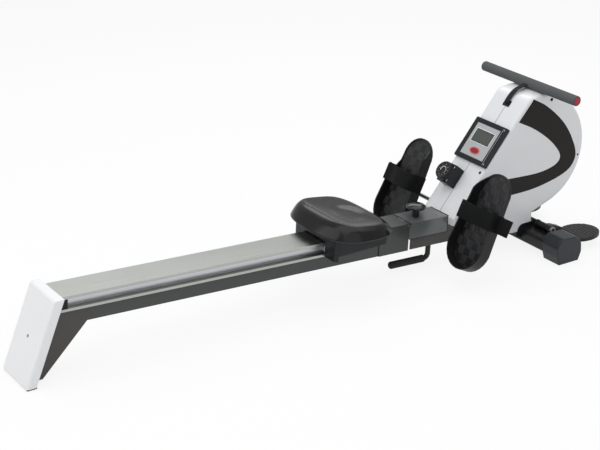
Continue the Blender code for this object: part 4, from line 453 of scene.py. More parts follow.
def webbing_group():
    """A plain weave from the UV map, which is in metres: each thread's crossing is a small bump."""
    inputs = {"Colour": "colour", "Thread": "number", "Depth": "number"}
    group, start, end = shader_group("woven_webbing", inputs, {"Colour": "colour", "Normal": "vector"})
    place = add(group, "SeparateXYZ", {0: add(group, "TexCoord").outputs["UV"]}).outputs
    waves = []
    for part in (place["X"], place["Y"]):
        turn = calculate(group, "MULTIPLY", calculate(group, "DIVIDE", part, start["Thread"]), pi)
        waves.append(calculate(group, "ABSOLUTE", calculate(group, "SINE", turn)))
    height = calculate(group, "MULTIPLY", *waves)
    links = group.links
    links.new(shaded(group, start["Colour"], swing(group, height, 0.35)), end["Colour"])
    links.new(bump(group, height, start["Depth"]), end["Normal"])
    return group


MOULDED, BRUSHED, WOVEN = moulded_group(), brushed_group(), webbing_group()

# Finishes


def finish(name, group, values, **shader_values):
    """A material whose Principled BSDF takes what its group puts out, and constants on its own sockets."""
    material = bpy.data.materials.new(name)
    material.use_nodes = True
    tree = material.node_tree
    shader = tree.nodes["Principled BSDF"]
    effect = tree.nodes.new("ShaderNodeGroup")
    effect.node_tree = group
    for label, value in values.items():
        effect.inputs[label].default_value = (*value, 1.0) if isinstance(value, tuple) else value
    for output, socket in (("Colour", "Base Color"), ("Roughness", "Roughness"), ("Normal", "Normal")):
        if output in effect.outputs:
            tree.links.new(effect.outputs[output], shader.inputs[socket])
    for label, value in shader_values.items():
        shader.inputs[label.replace("_", " ").title().replace("Ior", "IOR")].default_value = value
    return material


def moulding(name, colour, roughness, grain, depth, shade, gloss=0.04, shine=0.5, **more):
    """A moulding: its grain's size and depth in metres, its spread of shade and gloss, its specular level."""
    values = {"Colour": colour, "Shade Spread": shade, "Roughness": roughness, "Roughness Spread": gloss}
    values |= {"Grain Size": grain, "Grain Depth": depth}
    return finish(name, MOULDED, values, specular_ior_level=shine, **more)


def paint(name, colour, roughness=0.26, metallic=0.35):
    return moulding(name, colour, roughness, 0.0005, 0.00001, 0.03, 0.03, metallic=metallic)


def metal(name, colour, roughness, lines):
    """Bare metal, with so many lines to a metre."""
    values = {"Colour": colour, "Roughness": roughness, "Lines": lines, "Line Depth": 0.00001}
    return finish(name, BRUSHED, values, metallic=1.0)


WHITE_SHELL = moulding(
    "white_gloss_moulding", (0.70, 0.715, 0.735), 0.30, 0.0016, 0.00001, 0.012, 0.05,
    coat_weight=0.25, coat_roughness=0.12,
)
WHITE_CAP = moulding("white_satin_moulding", (0.79, 0.80, 0.815), 0.38, 0.0012, 0.000015, 0.015)
BAND = moulding("dark_colour_panel", (0.0120, 0.0104, 0.0096), 0.34, 0.0008, 0.000008, 0.06, 0.04, 0.16)
BLACK = moulding("black_moulding", (0.0085, 0.0088, 0.0095), 0.36, 0.0007, 0.000035, 0.10, 0.07, 0.30)
BLACK_GLOSS = moulding("black_knob_moulding", (0.010, 0.011, 0.012), 0.16, 0.0009, 0.000006, 0.06)
BLACK_PAINT = moulding("black_painted_steel", (0.010, 0.010, 0.011), 0.32, 0.0008, 0.00002, 0.08, 0.04, 0.35)
SLATE = moulding("slate_moulding", (0.021, 0.025, 0.030), 0.32, 0.0009, 0.00002, 0.06, 0.05, 0.35)
TEAL = moulding("dark_teal_moulding", (0.0095, 0.0125, 0.0140), 0.30, 0.0009, 0.00002, 0.06, 0.05, 0.28)
BEZEL = moulding("dark_slate_moulding", (0.0095, 0.0130, 0.0150), 0.24, 0.0008, 0.00001, 0.06, 0.04, 0.30)
PAINT = paint("dark_grey_metallic_paint", (0.058, 0.061, 0.061))
COVER_PAINT = paint("grey_metallic_cover_paint", (0.130, 0.140, 0.141))
PAINT_BROWN = paint("warm_grey_metallic_paint", (0.060, 0.056, 0.053), 0.30, 0.30)
RUBBER = moulding("black_rubber", (0.014, 0.014, 0.015), 0.70, 0.0006, 0.00005, 0.10, 0.04, 0.30)
FOAM = moulding("grey_grip_foam", (0.086, 0.092, 0.094), 0.90, 0.0011, 0.00022, 0.10, 0.04, 0.25)
SEAT_SKIN = moulding("seat_skin", (0.0030, 0.0030, 0.0025), 0.22, 0.0010, 0.000003, 0.06, 0.03, 0.34)
SILVER = moulding(
    "silver_painted_moulding", (0.44, 0.46, 0.46), 0.36, 0.0005, 0.00002, 0.05, 0.05, metallic=0.35
)
KEY_RED = moulding("dark_red_moulding", (0.25, 0.006, 0.013), 0.28, 0.0009, 0.00001, 0.10)
RED = moulding("red_moulding", (0.36, 0.008, 0.016), 0.28, 0.0009, 0.00001, 0.10)
PALE_RED = moulding("pale_red_moulding", (0.60, 0.13, 0.14), 0.34, 0.0009, 0.00001, 0.08)
PALE_MARK = moulding("pale_marking", (0.55, 0.56, 0.54), 0.50, 0.0008, 0.00001, 0.05)
LENS = moulding(
    "display_lens", (0.052, 0.063, 0.054), 0.20, 0.0100, 0.000002, 0.05, 0.02,
    coat_weight=0.4, coat_roughness=0.04,
)
ROLLER = moulding("roller_nylon", (0.62, 0.62, 0.60), 0.45, 0.0009, 0.00002, 0.04)
BOARD = moulding("circuit_board", (0.03, 0.20, 0.06), 0.50, 0.0008, 0.00002, 0.10)
ALUMINIUM = metal("anodised_extrusion", (0.445, 0.458, 0.435), 0.32, 900.0)
# Pale metal for the rail tracks: its light colour is painted light on the shaded channel web
PAINTED_LIGHT_ALUMINIUM = metal("track_painted_light_extrusion", (0.62, 0.63, 0.67), 0.42, 1300.0)
BARE_STEEL = metal("bare_steel", (0.56, 0.56, 0.57), 0.26, 1500.0)
CAST_IRON = metal("turned_flywheel", (0.34, 0.34, 0.35), 0.38, 700.0)
WEBBING = finish(
    "black_webbing", WOVEN, {"Colour": (0.012, 0.0125, 0.013), "Thread": 0.0011, "Depth": 0.00018},
    roughness=0.75, specular_ior_level=0.25,
)
PEDAL_WEBBING = finish(
    "broad_webbing", WOVEN, {"Colour": (0.0035, 0.0038, 0.0042), "Thread": 0.0014, "Depth": 0.00010},
    roughness=0.62, specular_ior_level=0.12,
)

KEPT = (
    (WHITE_SHELL, "casing_left casing_right"),
    (WHITE_CAP, "rear_cap"),
    (ROLLER, "seat_roller_front_left seat_roller_front_right seat_roller_rear_left seat_roller_rear_right"),
    (BLACK, "pedal_left pedal_right step_plate_left step_plate_right"),
    (TEAL, "seat_carriage tension_base"),
    (SLATE, "stabiliser_cap_left stabiliser_cap_right strap_drum strap_roller"),
    (PAINT, "rail_bracket rail_beam seat_frame magnet_bracket"),
    (COVER_PAINT, "frame_cover"),
    (PAINT_BROWN, "front_frame rear_leg"),
    (BLACK_PAINT, "stabiliser_tube"),
    (BARE_STEEL, "fold_pin pedal_axle flywheel_axle flywheel_bearing_left flywheel_bearing_right drum_axle"),
    (BARE_STEEL, "recoil_spring handle_bar step_pin_left step_pin_right"),
    (CAST_IRON, "flywheel"),
    (ALUMINIUM, "rail"),
    (RUBBER, "rear_foot rear_stop_left rear_stop_right drive_belt tension_cable"),
    (SILVER, "console_panel"),
    (LENS, "console_window"),
    (BOARD, "console_board"),
    (WEBBING, "wound_strap"),
)
EDGE = 0.0006
OTHER_EDGES = dict.fromkeys(("console_panel", "console_window", "drive_belt"), 0.0002)
OTHER_EDGES |= {"tension_cable": 0, "rail": 0.0003}
OTHER_EDGES |= {"stabiliser_cap_left": 0.0045, "stabiliser_cap_right": 0.0045}


def dress_nodes():
    """Every CAD node that stays keeps its shape, with its edges broken and its own finish."""
    for material, nodes in KEPT:
        for node in nodes.split():
            crisp(node, material, OTHER_EDGES.get(node, EDGE))


# Rail


def rail_tracks():
    """A thin pale strip in each side's channel, on the web where the rollers run: a rounded section carried
    along the web. Its pale colour is painted light that brightens the shaded channel.
    """
    rear = (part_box("rail")[0][0] - BOOM[0, 3]) / BOOM_ALONG[0] + CAP_DEPTH
    path = along_line([(rear, 0, RAIL_CHANNEL_MIDDLE), (RAIL_FRONT, 0, RAIL_CHANNEL_MIDDLE)], 12)
    for side_name, sign in SIDES:
        across = sign * (RAIL_WEB_HALF + 0.0001)
        track = carried(rectangle(0.0003, RAIL_CHANNEL - 0.0008, 0.0001, 2, centre=(across, 0)), path)
        surface(f"rail_track_{side_name}", track, BOOM, PAINTED_LIGHT_ALUMINIUM, "rail", "aluminium", sharp=60)


# Seat


def seat_cushion():
    """Rings blended from two superellipses, the wide low rim and the narrow high ridge, on a smooth profile.

    A row's ring is a share of the rim plus a share of the ridge. Its height is a share of the ridge's height,
    which falls towards the front and a little at both ends. Past the crest, an oval hollow is pressed into
    the dished top, smoothly shallower towards its edge.
    """
    steps, crest, around = 6, 11, 208
    crown, fall_forward, fall_to_ends = 0.0693, 0.0955, 0.0500
    profile = [(0, 0, 0), (0.60, 0, 0), (0.93, 0, 0), (0.985, 0, 0.010), (1.0, 0, 0.055), (0.99, 0.01, 0.13)]
    profile += [(0.76, 0.24, 0.44), (0.52, 0.48, 0.70), (0.26, 0.74, 0.89), (0.08, 0.92, 0.975)]
    profile += [(0, 0.985, 1.0), (0, 0.945, 0.985), (0, 0.87, 0.940), (0, 0.70, 0.865), (0, 0.45, 0.81)]
    profile += [(0, 0.20, 0.79), (0, 0, 0.785)]
    rim_share, ridge_share, rise = (column[:, None] for column in through(profile, steps).T)
    rim = superellipse(0.1260, 0.1693, 0.72, around) + (0.0020, 0)
    ridge = superellipse(0.0812, 0.1395, 0.50, around) + (0.0045, 0)
    x, y = (rim_share * rim[:, axis] + ridge_share * ridge[:, axis] for axis in (0, 1))
    ridge_height = crown - fall_forward * x - fall_to_ends * y**2
    height = SEAT_RIM + rise * (ridge_height - SEAT_RIM)
    hollow_ahead, half_length, half_width, deep = 0.026, 0.056, 0.080, 0.0048
    away = np.hypot((x - hollow_ahead) / half_length, y / half_width)
    on_top = np.arange(len(rise))[:, None] >= crest * steps
    height -= on_top * deep * soft_step((1.0 - away) / 0.60)
    here = moved(BOOM, x=-SEAT_BEHIND_FOLD)
    seat = surface("seat_skin", np.stack([x, y, height], -1), here, SEAT_SKIN, "seat", "seat_skin",
                   caps=False, stands_for=["seat_cushion"], sharp=70)
    # A grey bead round the lower rim, lighter than the skin: a painted highlight along the seam over the
    # carriage
    edge = at_height(rim * (1.002, 1.0015), SEAT_RIM + 0.0012)
    highlight_bead = carried(circle(0.0014, 10), edge, (0, 0, 1), loop=True)
    looped("seat_rim_highlight_bead", highlight_bead, here, SLATE, "seat", "grey_plastic")


# Handle


def handle():
    """A foam sleeve turned about the bar, its rolled ends closed by red plugs set into them."""
    bar = axes(middle("handle_bar"), (1, 0, 0), (0, 1, 0))
    tube, inner, end = HANDLE_TUBE_RADIUS, HANDLE_TUBE_RADIUS + 0.0003, HANDLE_HALF - 0.0010
    ring = [(inner, -end, 0.0004), (HANDLE_RADIUS, -end, 0.0030)]
    ring += [(HANDLE_RADIUS, end, 0.0030), (inner, end, 0.0004)]
    looped("grip_foam", turned(rounded(ring, 6)), bar, FOAM, "handle", "foam", stands_for=["handle_grip"])
    bore, shoulder, depth = tube - 0.0018, HANDLE_HALF - 0.0070, 0.018
    for side, sign in SIDES:
        plug = [(0, shoulder - depth, 0), (bore, shoulder - depth, 0.001), (bore, shoulder, 0)]
        plug += [(tube, shoulder, 0), (tube, HANDLE_HALF, 0.0012), (0, HANDLE_HALF, 0)]
        points = turned(rounded(plug, 5, closed=False), 48) * (1, 1, sign)
        surface(f"grip_plug_{side}", points, bar, RED, "handle", "red_plastic", caps=False,
                stands_for=[f"handle_cap_{side}"])


# Pull strap


def pull_strap():
    """A flat strap: a thin rounded section from the reel past the roller and out of the slot to the bar."""
    roller, coil, bar = middle("strap_roller"), middle("wound_strap"), middle("handle_bar")
    crest = WHEEL[2] + sqrt(CASING_RADIUS**2 - (bar[0] - WHEEL[0]) ** 2)
    passing = roller + FACE_OUT * (ROLLER_RADIUS + STRAP_THICKNESS / 2)
    leaves_coil = np.array([-0.963, 0, 0.269])
    start = coil + (COIL_RADIUS + STRAP_THICKNESS / 2) * leaves_coil
    route = [
        start,
        (start + passing) / 2,
        passing,
        placed(np.array([SLOT_UP - 0.001, 0, -0.001]), FACE),
        placed(np.array([SLOT_UP + 0.011, 0, 0.0060]), FACE),
        (bar[0] - 0.062, 0, crest + 0.002),
        (bar[0] - 0.030, 0, bar[2] - 0.004),
        (bar[0] - HANDLE_TUBE_RADIUS - 0.0006, 0, bar[2] - 0.001),
    ]
    strap = webbing_band("pull_strap_webbing", through(route, 16), STRAP_WIDTH, STRAP_THICKNESS, WORLD,
                         WEBBING, None, stands_for=["pull_strap"])
    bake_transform(strap)


# Console


def console():
    """The bezel and its ribs, the lens's frame with a dark ring inside it that paints the shadow of the
    recessed window, and the domed key with its surround.
    """
    face = moved(FACE, x=-CONSOLE_DOWN)
    outer = rectangle(CONSOLE_LENGTH, CONSOLE_WIDTH, 0.005)
    inner = rectangle(PANEL_LENGTH + 0.0006, PANEL_WIDTH + 0.0006, 0.0008, centre=(0, PANEL_SIDE))
    ring = window_frame(outer, inner, 0.0003, CONSOLE_TOP, 0.0012)
    looped("bezel_moulding", ring, face, BEZEL, "frame", "grey_plastic", stands_for=["console_bezel"])
    ribs = (("inner", -0.0600, SILVER, "silver_plastic"), ("outer", -0.0690, SLATE, "grey_plastic"))
    for name, y, material, slot in ribs:
        rib = rectangle(CONSOLE_LENGTH - 0.012, 0.0012, 0.0005, centre=(0, y))
        rib = plate(rib, CONSOLE_TOP - 0.0005, CONSOLE_TOP + 0.0006, 0.0005)
        surface(f"bezel_rib_{name}", rib, face, material, "frame", slot)
    panel = moved(face, y=PANEL_SIDE, z=PANEL_TOP)
    beyond, over = 0.0036, 0.0004
    outer = rectangle(LENS_LENGTH + beyond, LENS_WIDTH + beyond, 0.0012, centre=(LENS_UP, 0))
    inner = rectangle(LENS_LENGTH - over, LENS_WIDTH - over, 0.0006, centre=(LENS_UP, 0))
    lens_frame = window_frame(outer, inner, 0.0003, 0.0014, 0.0006)
    looped("lens_frame", lens_frame, panel, WHITE_CAP, "frame", "white_plastic")
    key = moved(panel, x=-BUTTON_DOWN)
    outline = superellipse(BUTTON_LENGTH / 2, BUTTON_WIDTH / 2, 0.92, 64)
    rows = [(1.0, -0.0042), (1.0, 0.0004), (0.985, 0.0010), (0.93, 0.0016), (0.80, 0.0020)]
    rows += [(0.60, 0.0022), (0.30, 0.0022), (0, 0.0021)]
    dome = np.stack([at_height(outline * share, height) for share, height in through(rows, 3)])
    surface("start_key", dome, key, KEY_RED, "button", "red_plastic", stands_for=["console_button"], sharp=50)
    surround = window_frame(outline * (1.45, 1.25), outline * (1.04, 1.02), 0.0003, 0.0012, 0.0004, 2)
    looped("key_surround", surround, key, PALE_RED, "frame", "red_plastic")
    # A dark ring inside the lens frame: painted shadow along the recessed window's edge
    window_shadow = window_frame(inner, inset(inner, 0.0022), -0.0006, 0.0006, 0.0002, 2)
    looped("lens_painted_shadow", window_shadow, panel, BEZEL, "frame", "grey_plastic")


def dial():
    """A dial whose radius ripples in flutes, with plain numbers and a growing arc on its dished face."""
    r, h, floor = DIAL_RADIUS - 0.0004, DIAL_HEIGHT, DIAL_HEIGHT - 0.0012
    flute_count, flute_depth, steps = 36, 0.020, 288
    base = moved(FACE, -TENSION_DOWN, TENSION_SIDE, TENSION_BASE_HEIGHT + 0.0003)
    profile = [(0, 0, 0), (r * 0.93, 0, 0.0010), (r, 0.0030, 0.0010), (r * 0.985, h - 0.0050, 0.0010)]
    profile += [(r * 0.93, h, 0.0025), (r * 0.80, h, 0.0020), (r * 0.74, floor, 0.0020), (0, floor, 0)]
    profile = rounded(profile, 5, closed=False)
    angle = np.arange(steps) * 2 * pi / steps
    on_rim = soft_step((profile[:, 0] - 0.90 * r) / (0.08 * r))[:, None]
    flutes = 1 - flute_depth * on_rim * (0.5 + 0.5 * np.cos(flute_count * angle)) ** 2
    points = turned(profile, steps) * np.stack([flutes, flutes, 1 + 0 * flutes], -1)
    surface("dial_moulding", points, base, BLACK, "tension_dial", "black_plastic",
            caps=False, stands_for=["tension_knob"], sharp=45)
    top = moved(base, z=floor)
    arc_radius, count = 0.0116, 70
    arc_line = circle(1.0, count, radians(-150), radians(260), ends=True)
    half = 0.0003 + 0.0013 * np.linspace(0, 1, count)[:, None]
    loop = np.vstack([arc_line * (arc_radius + half), (arc_line * (arc_radius - half))[::-1]])
    surface("dial_arc", plate(loop, -0.0002, 0.0003), top, PALE_MARK, "tension_dial", "silver_plastic")
    pointer = plate(rectangle(0.0060, 0.0014, 0.0006, centre=(0.0190, 0)), -0.0002, 0.0006, 0.0003)
    surface("dial_pointer", pointer, top, PALE_MARK, "tension_dial", "silver_plastic")
    numbers(top)
    # A thin white strip along the base's top edge: a painted highlight on that edge
    clip = rectangle(TENSION_BASE_LENGTH - 0.012, 0.0022, 0.0008, centre=(0, -TENSION_BASE_WIDTH / 2 + 0.004))
    clip = plate(clip, TENSION_BASE_HEIGHT - 0.0005, TENSION_BASE_HEIGHT + 0.0004, 0.0003)
    on_base = moved(FACE, -TENSION_DOWN, TENSION_SIDE)
    surface("dial_base_highlight_strip", clip, on_base, WHITE_CAP, "frame", "white_plastic")


def numbers(top):
    """Plain numbers 1 to 8 round the dial's face."""
    shape = bmesh.new()
    count, out = 8, 0.0188
    for i in range(count):
        curve = bpy.data.curves.new("number", "FONT")
        curve.body = str(i + 1)
        curve.size = 0.0052
        curve.extrude = 0.0002
        curve.align_x = curve.align_y = "CENTER"
        helper = bpy.data.objects.new("number", curve)
        bpy.context.scene.collection.objects.link(helper)
        bpy.context.view_layer.update()
        mesh = bpy.data.meshes.new_from_object(helper.evaluated_get(bpy.context.evaluated_depsgraph_get()))
        bpy.data.objects.remove(helper)
        turn = radians(-135 + 270 * i / (count - 1)) + pi
        points = np.empty(len(mesh.vertices) * 3, np.float32)
        mesh.vertices.foreach_get("co", points)
        around = np.array([[sin(turn), cos(turn), 0], [-cos(turn), sin(turn), 0], [0, 0, 1]])
        points = points.reshape(-1, 3) @ around + (out * cos(turn), out * sin(turn), 0.0001)
        mesh.vertices.foreach_set("co", placed(points, top).reshape(-1).astype(np.float32))
        shape.from_mesh(mesh)
    mesh = bpy.data.meshes.new("dial_numbers")
    shape.to_mesh(mesh)
    shape.free()
    dressed("dial_numbers", mesh, PALE_MARK, "tension_dial", "silver_plastic")


# Foot rests


def sole_half_width(x, clearance):
    """Half of the sole's width, between two round ends joined by straight sides, less a clearance."""
    toe, heel = TOE_RADIUS - clearance, HEEL_RADIUS - clearance
    toe_x, heel_x = TOE_LENGTH - TOE_RADIUS, HEEL_RADIUS - HEEL_LENGTH
    straight = heel + (toe - heel) * (x - heel_x) / (toe_x - heel_x)
    near_toe = np.sqrt(np.maximum(toe**2 - (x - toe_x) ** 2, 0))
    near_heel = np.sqrt(np.maximum(heel**2 - (x - heel_x) ** 2, 0))
    return np.where(x > toe_x, near_toe, np.where(x < heel_x, near_heel, straight))


def tread_material():
    """Dark moulding with squares in turn smooth and finely ribbed, from the UV map in metres."""
    material = moulding("chequered_tread", (0.0085, 0.0087, 0.0095), 0.30, 0.0008, 0.00002, 0.25, 0.08, 0.35)
    tree = material.node_tree
    sockets = tree.nodes["Principled BSDF"].inputs
    grain, plain = (sockets[name].links[0].from_socket for name in ("Normal", "Base Color"))
    place = add(tree, "SeparateXYZ", {0: add(tree, "TexCoord").outputs["UV"]}).outputs
    cells = [calculate(tree, "DIVIDE", place[axis], TREAD_SQUARE) for axis in ("X", "Y")]
    cells = [calculate(tree, "FLOOR", cell) for cell in cells]
    odd = calculate(tree, "PINGPONG", calculate(tree, "ADD", *cells), 1.0)
    slant = calculate(tree, "MULTIPLY", calculate(tree, "ADD", place["X"], place["Y"]), 2 * pi / TREAD_RIB)
    ribs = calculate(tree, "MULTIPLY", calculate(tree, "SINE", slant), odd)
    normal = add(tree, "Bump", {"Height": ribs, "Distance": 0.00022, "Strength": 1.0, "Normal": grain})
    tree.links.new(normal.outputs["Normal"], sockets["Normal"])
    lighter = shaded(tree, plain, calculate(tree, "MULTIPLY", odd, 1.9))
    tree.links.new(lighter, sockets["Base Color"])
    return material


TREAD = tread_material()


def tread(side_name, frame_of_pedal):
    """A pad in the sole: across is a share of the sole's width, and squares stand in turn 0.8 mm proud.

    Its rows lie closer together towards the two round ends, by a quarter share of a cosine.
    """
    clearance = PEDAL_WALL + 0.0004
    low, high = -HEEL_LENGTH + clearance, TOE_LENGTH - clearance
    along, share = np.linspace(0, 1, 230), np.linspace(-1, 1, 110)
    x = low + (high - low) * (0.75 * along + 0.25 * (1 - np.cos(pi * along)) / 2)
    half = sole_half_width(x, clearance)[:, None]
    y = half * share
    x = x[:, None] + 0 * y
    waves = np.sin(pi * x / TREAD_SQUARE) * np.sin(pi * y / TREAD_SQUARE)
    from_edge = soft_step((1 - np.abs(share)) * half / 0.004)
    relief = 0.0004 + 0.0008 * from_edge * (0.5 + 0.5 * np.tanh(7 * waves))
    top = np.stack([x, y, SOLE_RISE + relief], -1)
    bottom = top[:, [-1, 0]]
    bottom[..., 2] = SOLE_RISE - 0.0005
    points = np.concatenate([top, bottom], 1)
    name = f"tread_{side_name}"
    mesh = grid_mesh(name, placed(points, frame_of_pedal), (False, True), False, (1, 1))
    corner = np.empty(len(mesh.loops), np.int32)
    mesh.loops.foreach_get("vertex_index", corner)
    uv = points.reshape(-1, 3)[corner, :2]
    mesh.uv_layers["UVMap"].data.foreach_set("uv", uv.reshape(-1).astype(np.float32))
    dressed(name, mesh, TREAD, f"pedal_{side_name}", "black_plastic", sharp=50)


def pedal_strap(side_name, sign, frame_of_pedal):
    """Broad webbing over the foot, and its free end outside: a thin rounded section across the sole."""
    edge = float(sole_half_width(np.array(PEDAL_STRAP_AHEAD), 0.0)) + 0.0018
    low, rise = SOLE_RISE - 0.004, SOLE_RISE + PEDAL_STRAP_RISE
    over = [(-edge, low), (-edge, SOLE_RISE + 0.030), (-edge + 0.006, rise - 0.008), (-edge + 0.026, rise)]
    over += [(0, rise - 0.003), (0.040, rise - 0.014), (edge - 0.003, SOLE_RISE + 0.042)]
    over += [(edge, SOLE_RISE + 0.035), (edge, SOLE_RISE + 0.020), (edge, low)]
    tail = [(edge, SOLE_RISE + 0.012), (edge + 0.012, SOLE_RISE + 0.008), (edge + 0.028, SOLE_RISE + 0.003)]
    tail += [(edge + 0.044, SOLE_RISE - 0.003)]
    here, stands_for = moved(frame_of_pedal, x=PEDAL_STRAP_AHEAD), [f"pedal_strap_{side_name}"]
    bands = (("band", over, PEDAL_STRAP_WIDTH, stands_for), ("tail", tail, PEDAL_STRAP_WIDTH - 0.002, []))
    for name, points, width, stands in bands:
        path = through(points, 10)
        path = np.column_stack([np.zeros(len(path)), sign * path[:, 0], path[:, 1]])
        webbing_band(f"foot_{name}_{side_name}", path, width, PEDAL_STRAP_THICKNESS, here, PEDAL_WEBBING,
                     f"pedal_{side_name}", side=(1, 0, 0), stands_for=stands)


def foot_rests():
    axle = middle("pedal_axle")
    for side_name, sign in SIDES:
        centre = (axle[0], middle(f"pedal_{side_name}")[1], axle[2])
        frame_of_pedal = axes(centre, PEDAL_UP, PEDAL_OUT)
        tread(side_name, frame_of_pedal)
        pedal_strap(side_name, sign, frame_of_pedal)


# Boom's knob and lever


def fold_controls():
    """A mushroom knob turned about its pin, and a lever: a round rod along its bend, in a ribbed sleeve."""
    frame_of_knob = moved(BOOM, x=KNOB_AHEAD)
    pin, shank, pin_end, clear = 0.006, 0.012, -0.0362, 0.0003
    stem = [(0, pin_end, 0), (pin, pin_end, 0.001), (pin, clear, 0), (shank, clear, 0.0005)]
    stem += [(shank - 0.0005, KNOB_STAND, 0.003), (0.55 * KNOB_RADIUS, KNOB_STAND, 0)]
    stem = rounded(stem, 6, closed=False)
    turn = np.linspace(radians(-58), radians(90), 26)
    head_height = KNOB_STAND + KNOB_HEIGHT * (0.46 + 0.54 * np.sin(turn))
    head = np.stack([KNOB_RADIUS * np.cos(turn), head_height], -1)
    points = turned(np.vstack([stem[:-1], head]), 72)
    surface("lock_knob_moulding", points, frame_of_knob, BLACK_GLOSS, "lock_knob", "black_plastic",
            caps=False, stands_for=["fold_knob"])
    frame_of_lever = moved(BOOM, LEVER_AHEAD, -LEVER_SIDE, -BOOM_HEIGHT)
    bent = [(0, 0.0092, 0), (0, -LEVER_DROP, 0.016), (-LEVER_LENGTH + 0.010, -LEVER_DROP, 0)]
    rod = carried(circle(LEVER_RADIUS, 28), upright(rounded(bent, 12, closed=False)))
    surface("lever_rod", rod, frame_of_lever, BLACK_PAINT, "lever", "black_paint", stands_for=["fold_lever"])
    sleeve_start, steps = 0.0160, 60
    reach = LEVER_LENGTH - sleeve_start
    along = [0, 0.0006, 0.0022, *np.linspace(0.005, reach - 0.007, steps)]
    along += [reach - back for back in (0.0042, 0.0020, 0.0006, 0)]
    ribs = 1 + 0.010 * np.cos(np.linspace(0, 30 * pi, steps))
    girth = [0.72, 0.90, 0.98, *ribs, 0.94, 0.80, 0.55, 0]
    ring = circle(LEVER_RADIUS + 0.0036, 32)
    rings = [np.column_stack([np.full(32, -sleeve_start - a), ring * g]) for a, g in zip(along, girth)]
    on_rod = moved(frame_of_lever, z=-LEVER_DROP)
    surface("lever_sleeve", np.stack(rings), on_rod, RUBBER, "lever", "rubber", sharp=50)


def cover_strips_and_shade():
    """Dark strips in the joints round the cover: a small rounded section along its front and lower edges. The
    front one is a dark end strip that also paints the shade of its joint; the lower ones are painted shadow
    under the cover's edges.
    """
    half, ahead, down = BOOM_WIDTH / 2, COVER_LENGTH, -COVER_DEPTH
    section = rectangle(0.0014, 0.0014, 0.0004, 2)
    front = [(ahead, -half, down), (ahead, -half, 0), (ahead, half, 0), (ahead, half, down)]
    front = placed(carried(section, along_line(front, 8), (1, 0, 0)), BOOM)
    surface("cover_front_strip_and_shade", front, WORLD, RUBBER, "frame", "rubber", sharp=60)
    for side_name, sign in SIDES:
        # Painted shadow under the cover's lower edge
        low = carried(section, along_line([(0.004, sign * half, down), (ahead, sign * half, down)], 6))
        surface(f"cover_low_shadow_strip_{side_name}", low, BOOM, RUBBER, "frame", "rubber", sharp=60)


# Casing


def evenly(curve, count):
    """The curve's points set again at equal lengths along it."""
    length = np.concatenate([[0], np.cumsum(np.linalg.norm(np.diff(curve, axis=0), axis=1))])
    wanted = np.linspace(0, length[-1], count)
    return np.stack([np.interp(wanted, length, curve[:, axis]) for axis in (0, 1)], -1)


def on_casing_side(outer, inner):
    """A thin panel between two curves, by shares of the way across, raised off the casing's rounded side.

    The side falls away near the casing's outline along a quarter circle of CASING_ROUND.
    """
    across = np.array([0, 0, 0.006, *np.linspace(0.03, 0.97, 12), 0.994, 1, 1])
    lift = np.array([-0.0016, 0.0003, 0.0006, *np.full(12, 0.0006), 0.0006, 0.0003, -0.0016])
    points = outer[:, None] * (1 - across)[:, None] + inner[:, None] * across[:, None]
    from_wheel = points - WHEEL[[0, 2]]
    to_rim = CASING_RADIUS - np.linalg.norm(from_wheel, axis=-1)
    to_face = FACE_DISTANCE - from_wheel @ FACE_OUT[[0, 2]]
    into_round = np.maximum(CASING_ROUND - np.minimum(to_rim, to_face), 0)
    fall = CASING_ROUND - np.sqrt(CASING_ROUND**2 - np.minimum(into_round, CASING_ROUND) ** 2)
    return np.concatenate([points, (CASING_HALF - fall + lift)[..., None]], -1)


def casing_trim():
    """A curved dark panel and screws on each side, and the strap's bush and a dark strip of painted shade
    along the seam on the front.
    """
    outer = [(0.7761, 0.5177), (0.8317, 0.4857), (0.8911, 0.4359), (0.9324, 0.3875), (0.9604, 0.3372)]
    outer += [(0.9735, 0.3000), (0.9700, 0.2710), (0.9454, 0.2430), (0.8904, 0.2223), (0.7988, 0.2065)]
    outer += [(0.7000, 0.2040), (0.5900, 0.2075)]
    inner = [(0.7166, 0.4511), (0.7825, 0.4166), (0.8407, 0.3756), (0.8807, 0.3381), (0.9042, 0.3035)]
    inner += [(0.8985, 0.2810), (0.8679, 0.2659), (0.8039, 0.2580), (0.6851, 0.2634), (0.6380, 0.2665)]
    outer, inner = (evenly(through(curve, 10), 120) for curve in (outer, inner))
    panel = on_casing_side(outer, inner)
    screws = [(0.8520, 0.5035, 0.0056), (0.9840, 0.2880, 0.0036)]
    for side_name, sign in SIDES:
        points = panel * (1, 1, -sign)
        surface(f"side_panel_{side_name}", points, SIDE_VIEW, BAND, "frame", "white_plastic", sharp=60)
        for i, (x, z, radius) in enumerate(screws):
            there = axes((x, sign * CASING_HALF, z), (1, 0, 0), (0, sign, 0))
            screw(f"casing_screw_{side_name}_{i + 1}", there, radius, "frame", BLACK, "black_plastic")
    outer = rectangle(SLOT_LENGTH + 0.0024, SLOT_WIDTH + 0.0024, 0.003, centre=(SLOT_UP, 0))
    inner = rectangle(SLOT_LENGTH - 0.010, SLOT_WIDTH - 0.004, 0.002, centre=(SLOT_UP, 0))
    bush = window_frame(outer, inner, 0.0002, 0.0016, 0.0006)
    looped("slot_bush", bush, FACE, BLACK, "frame", "black_plastic")
    seam()


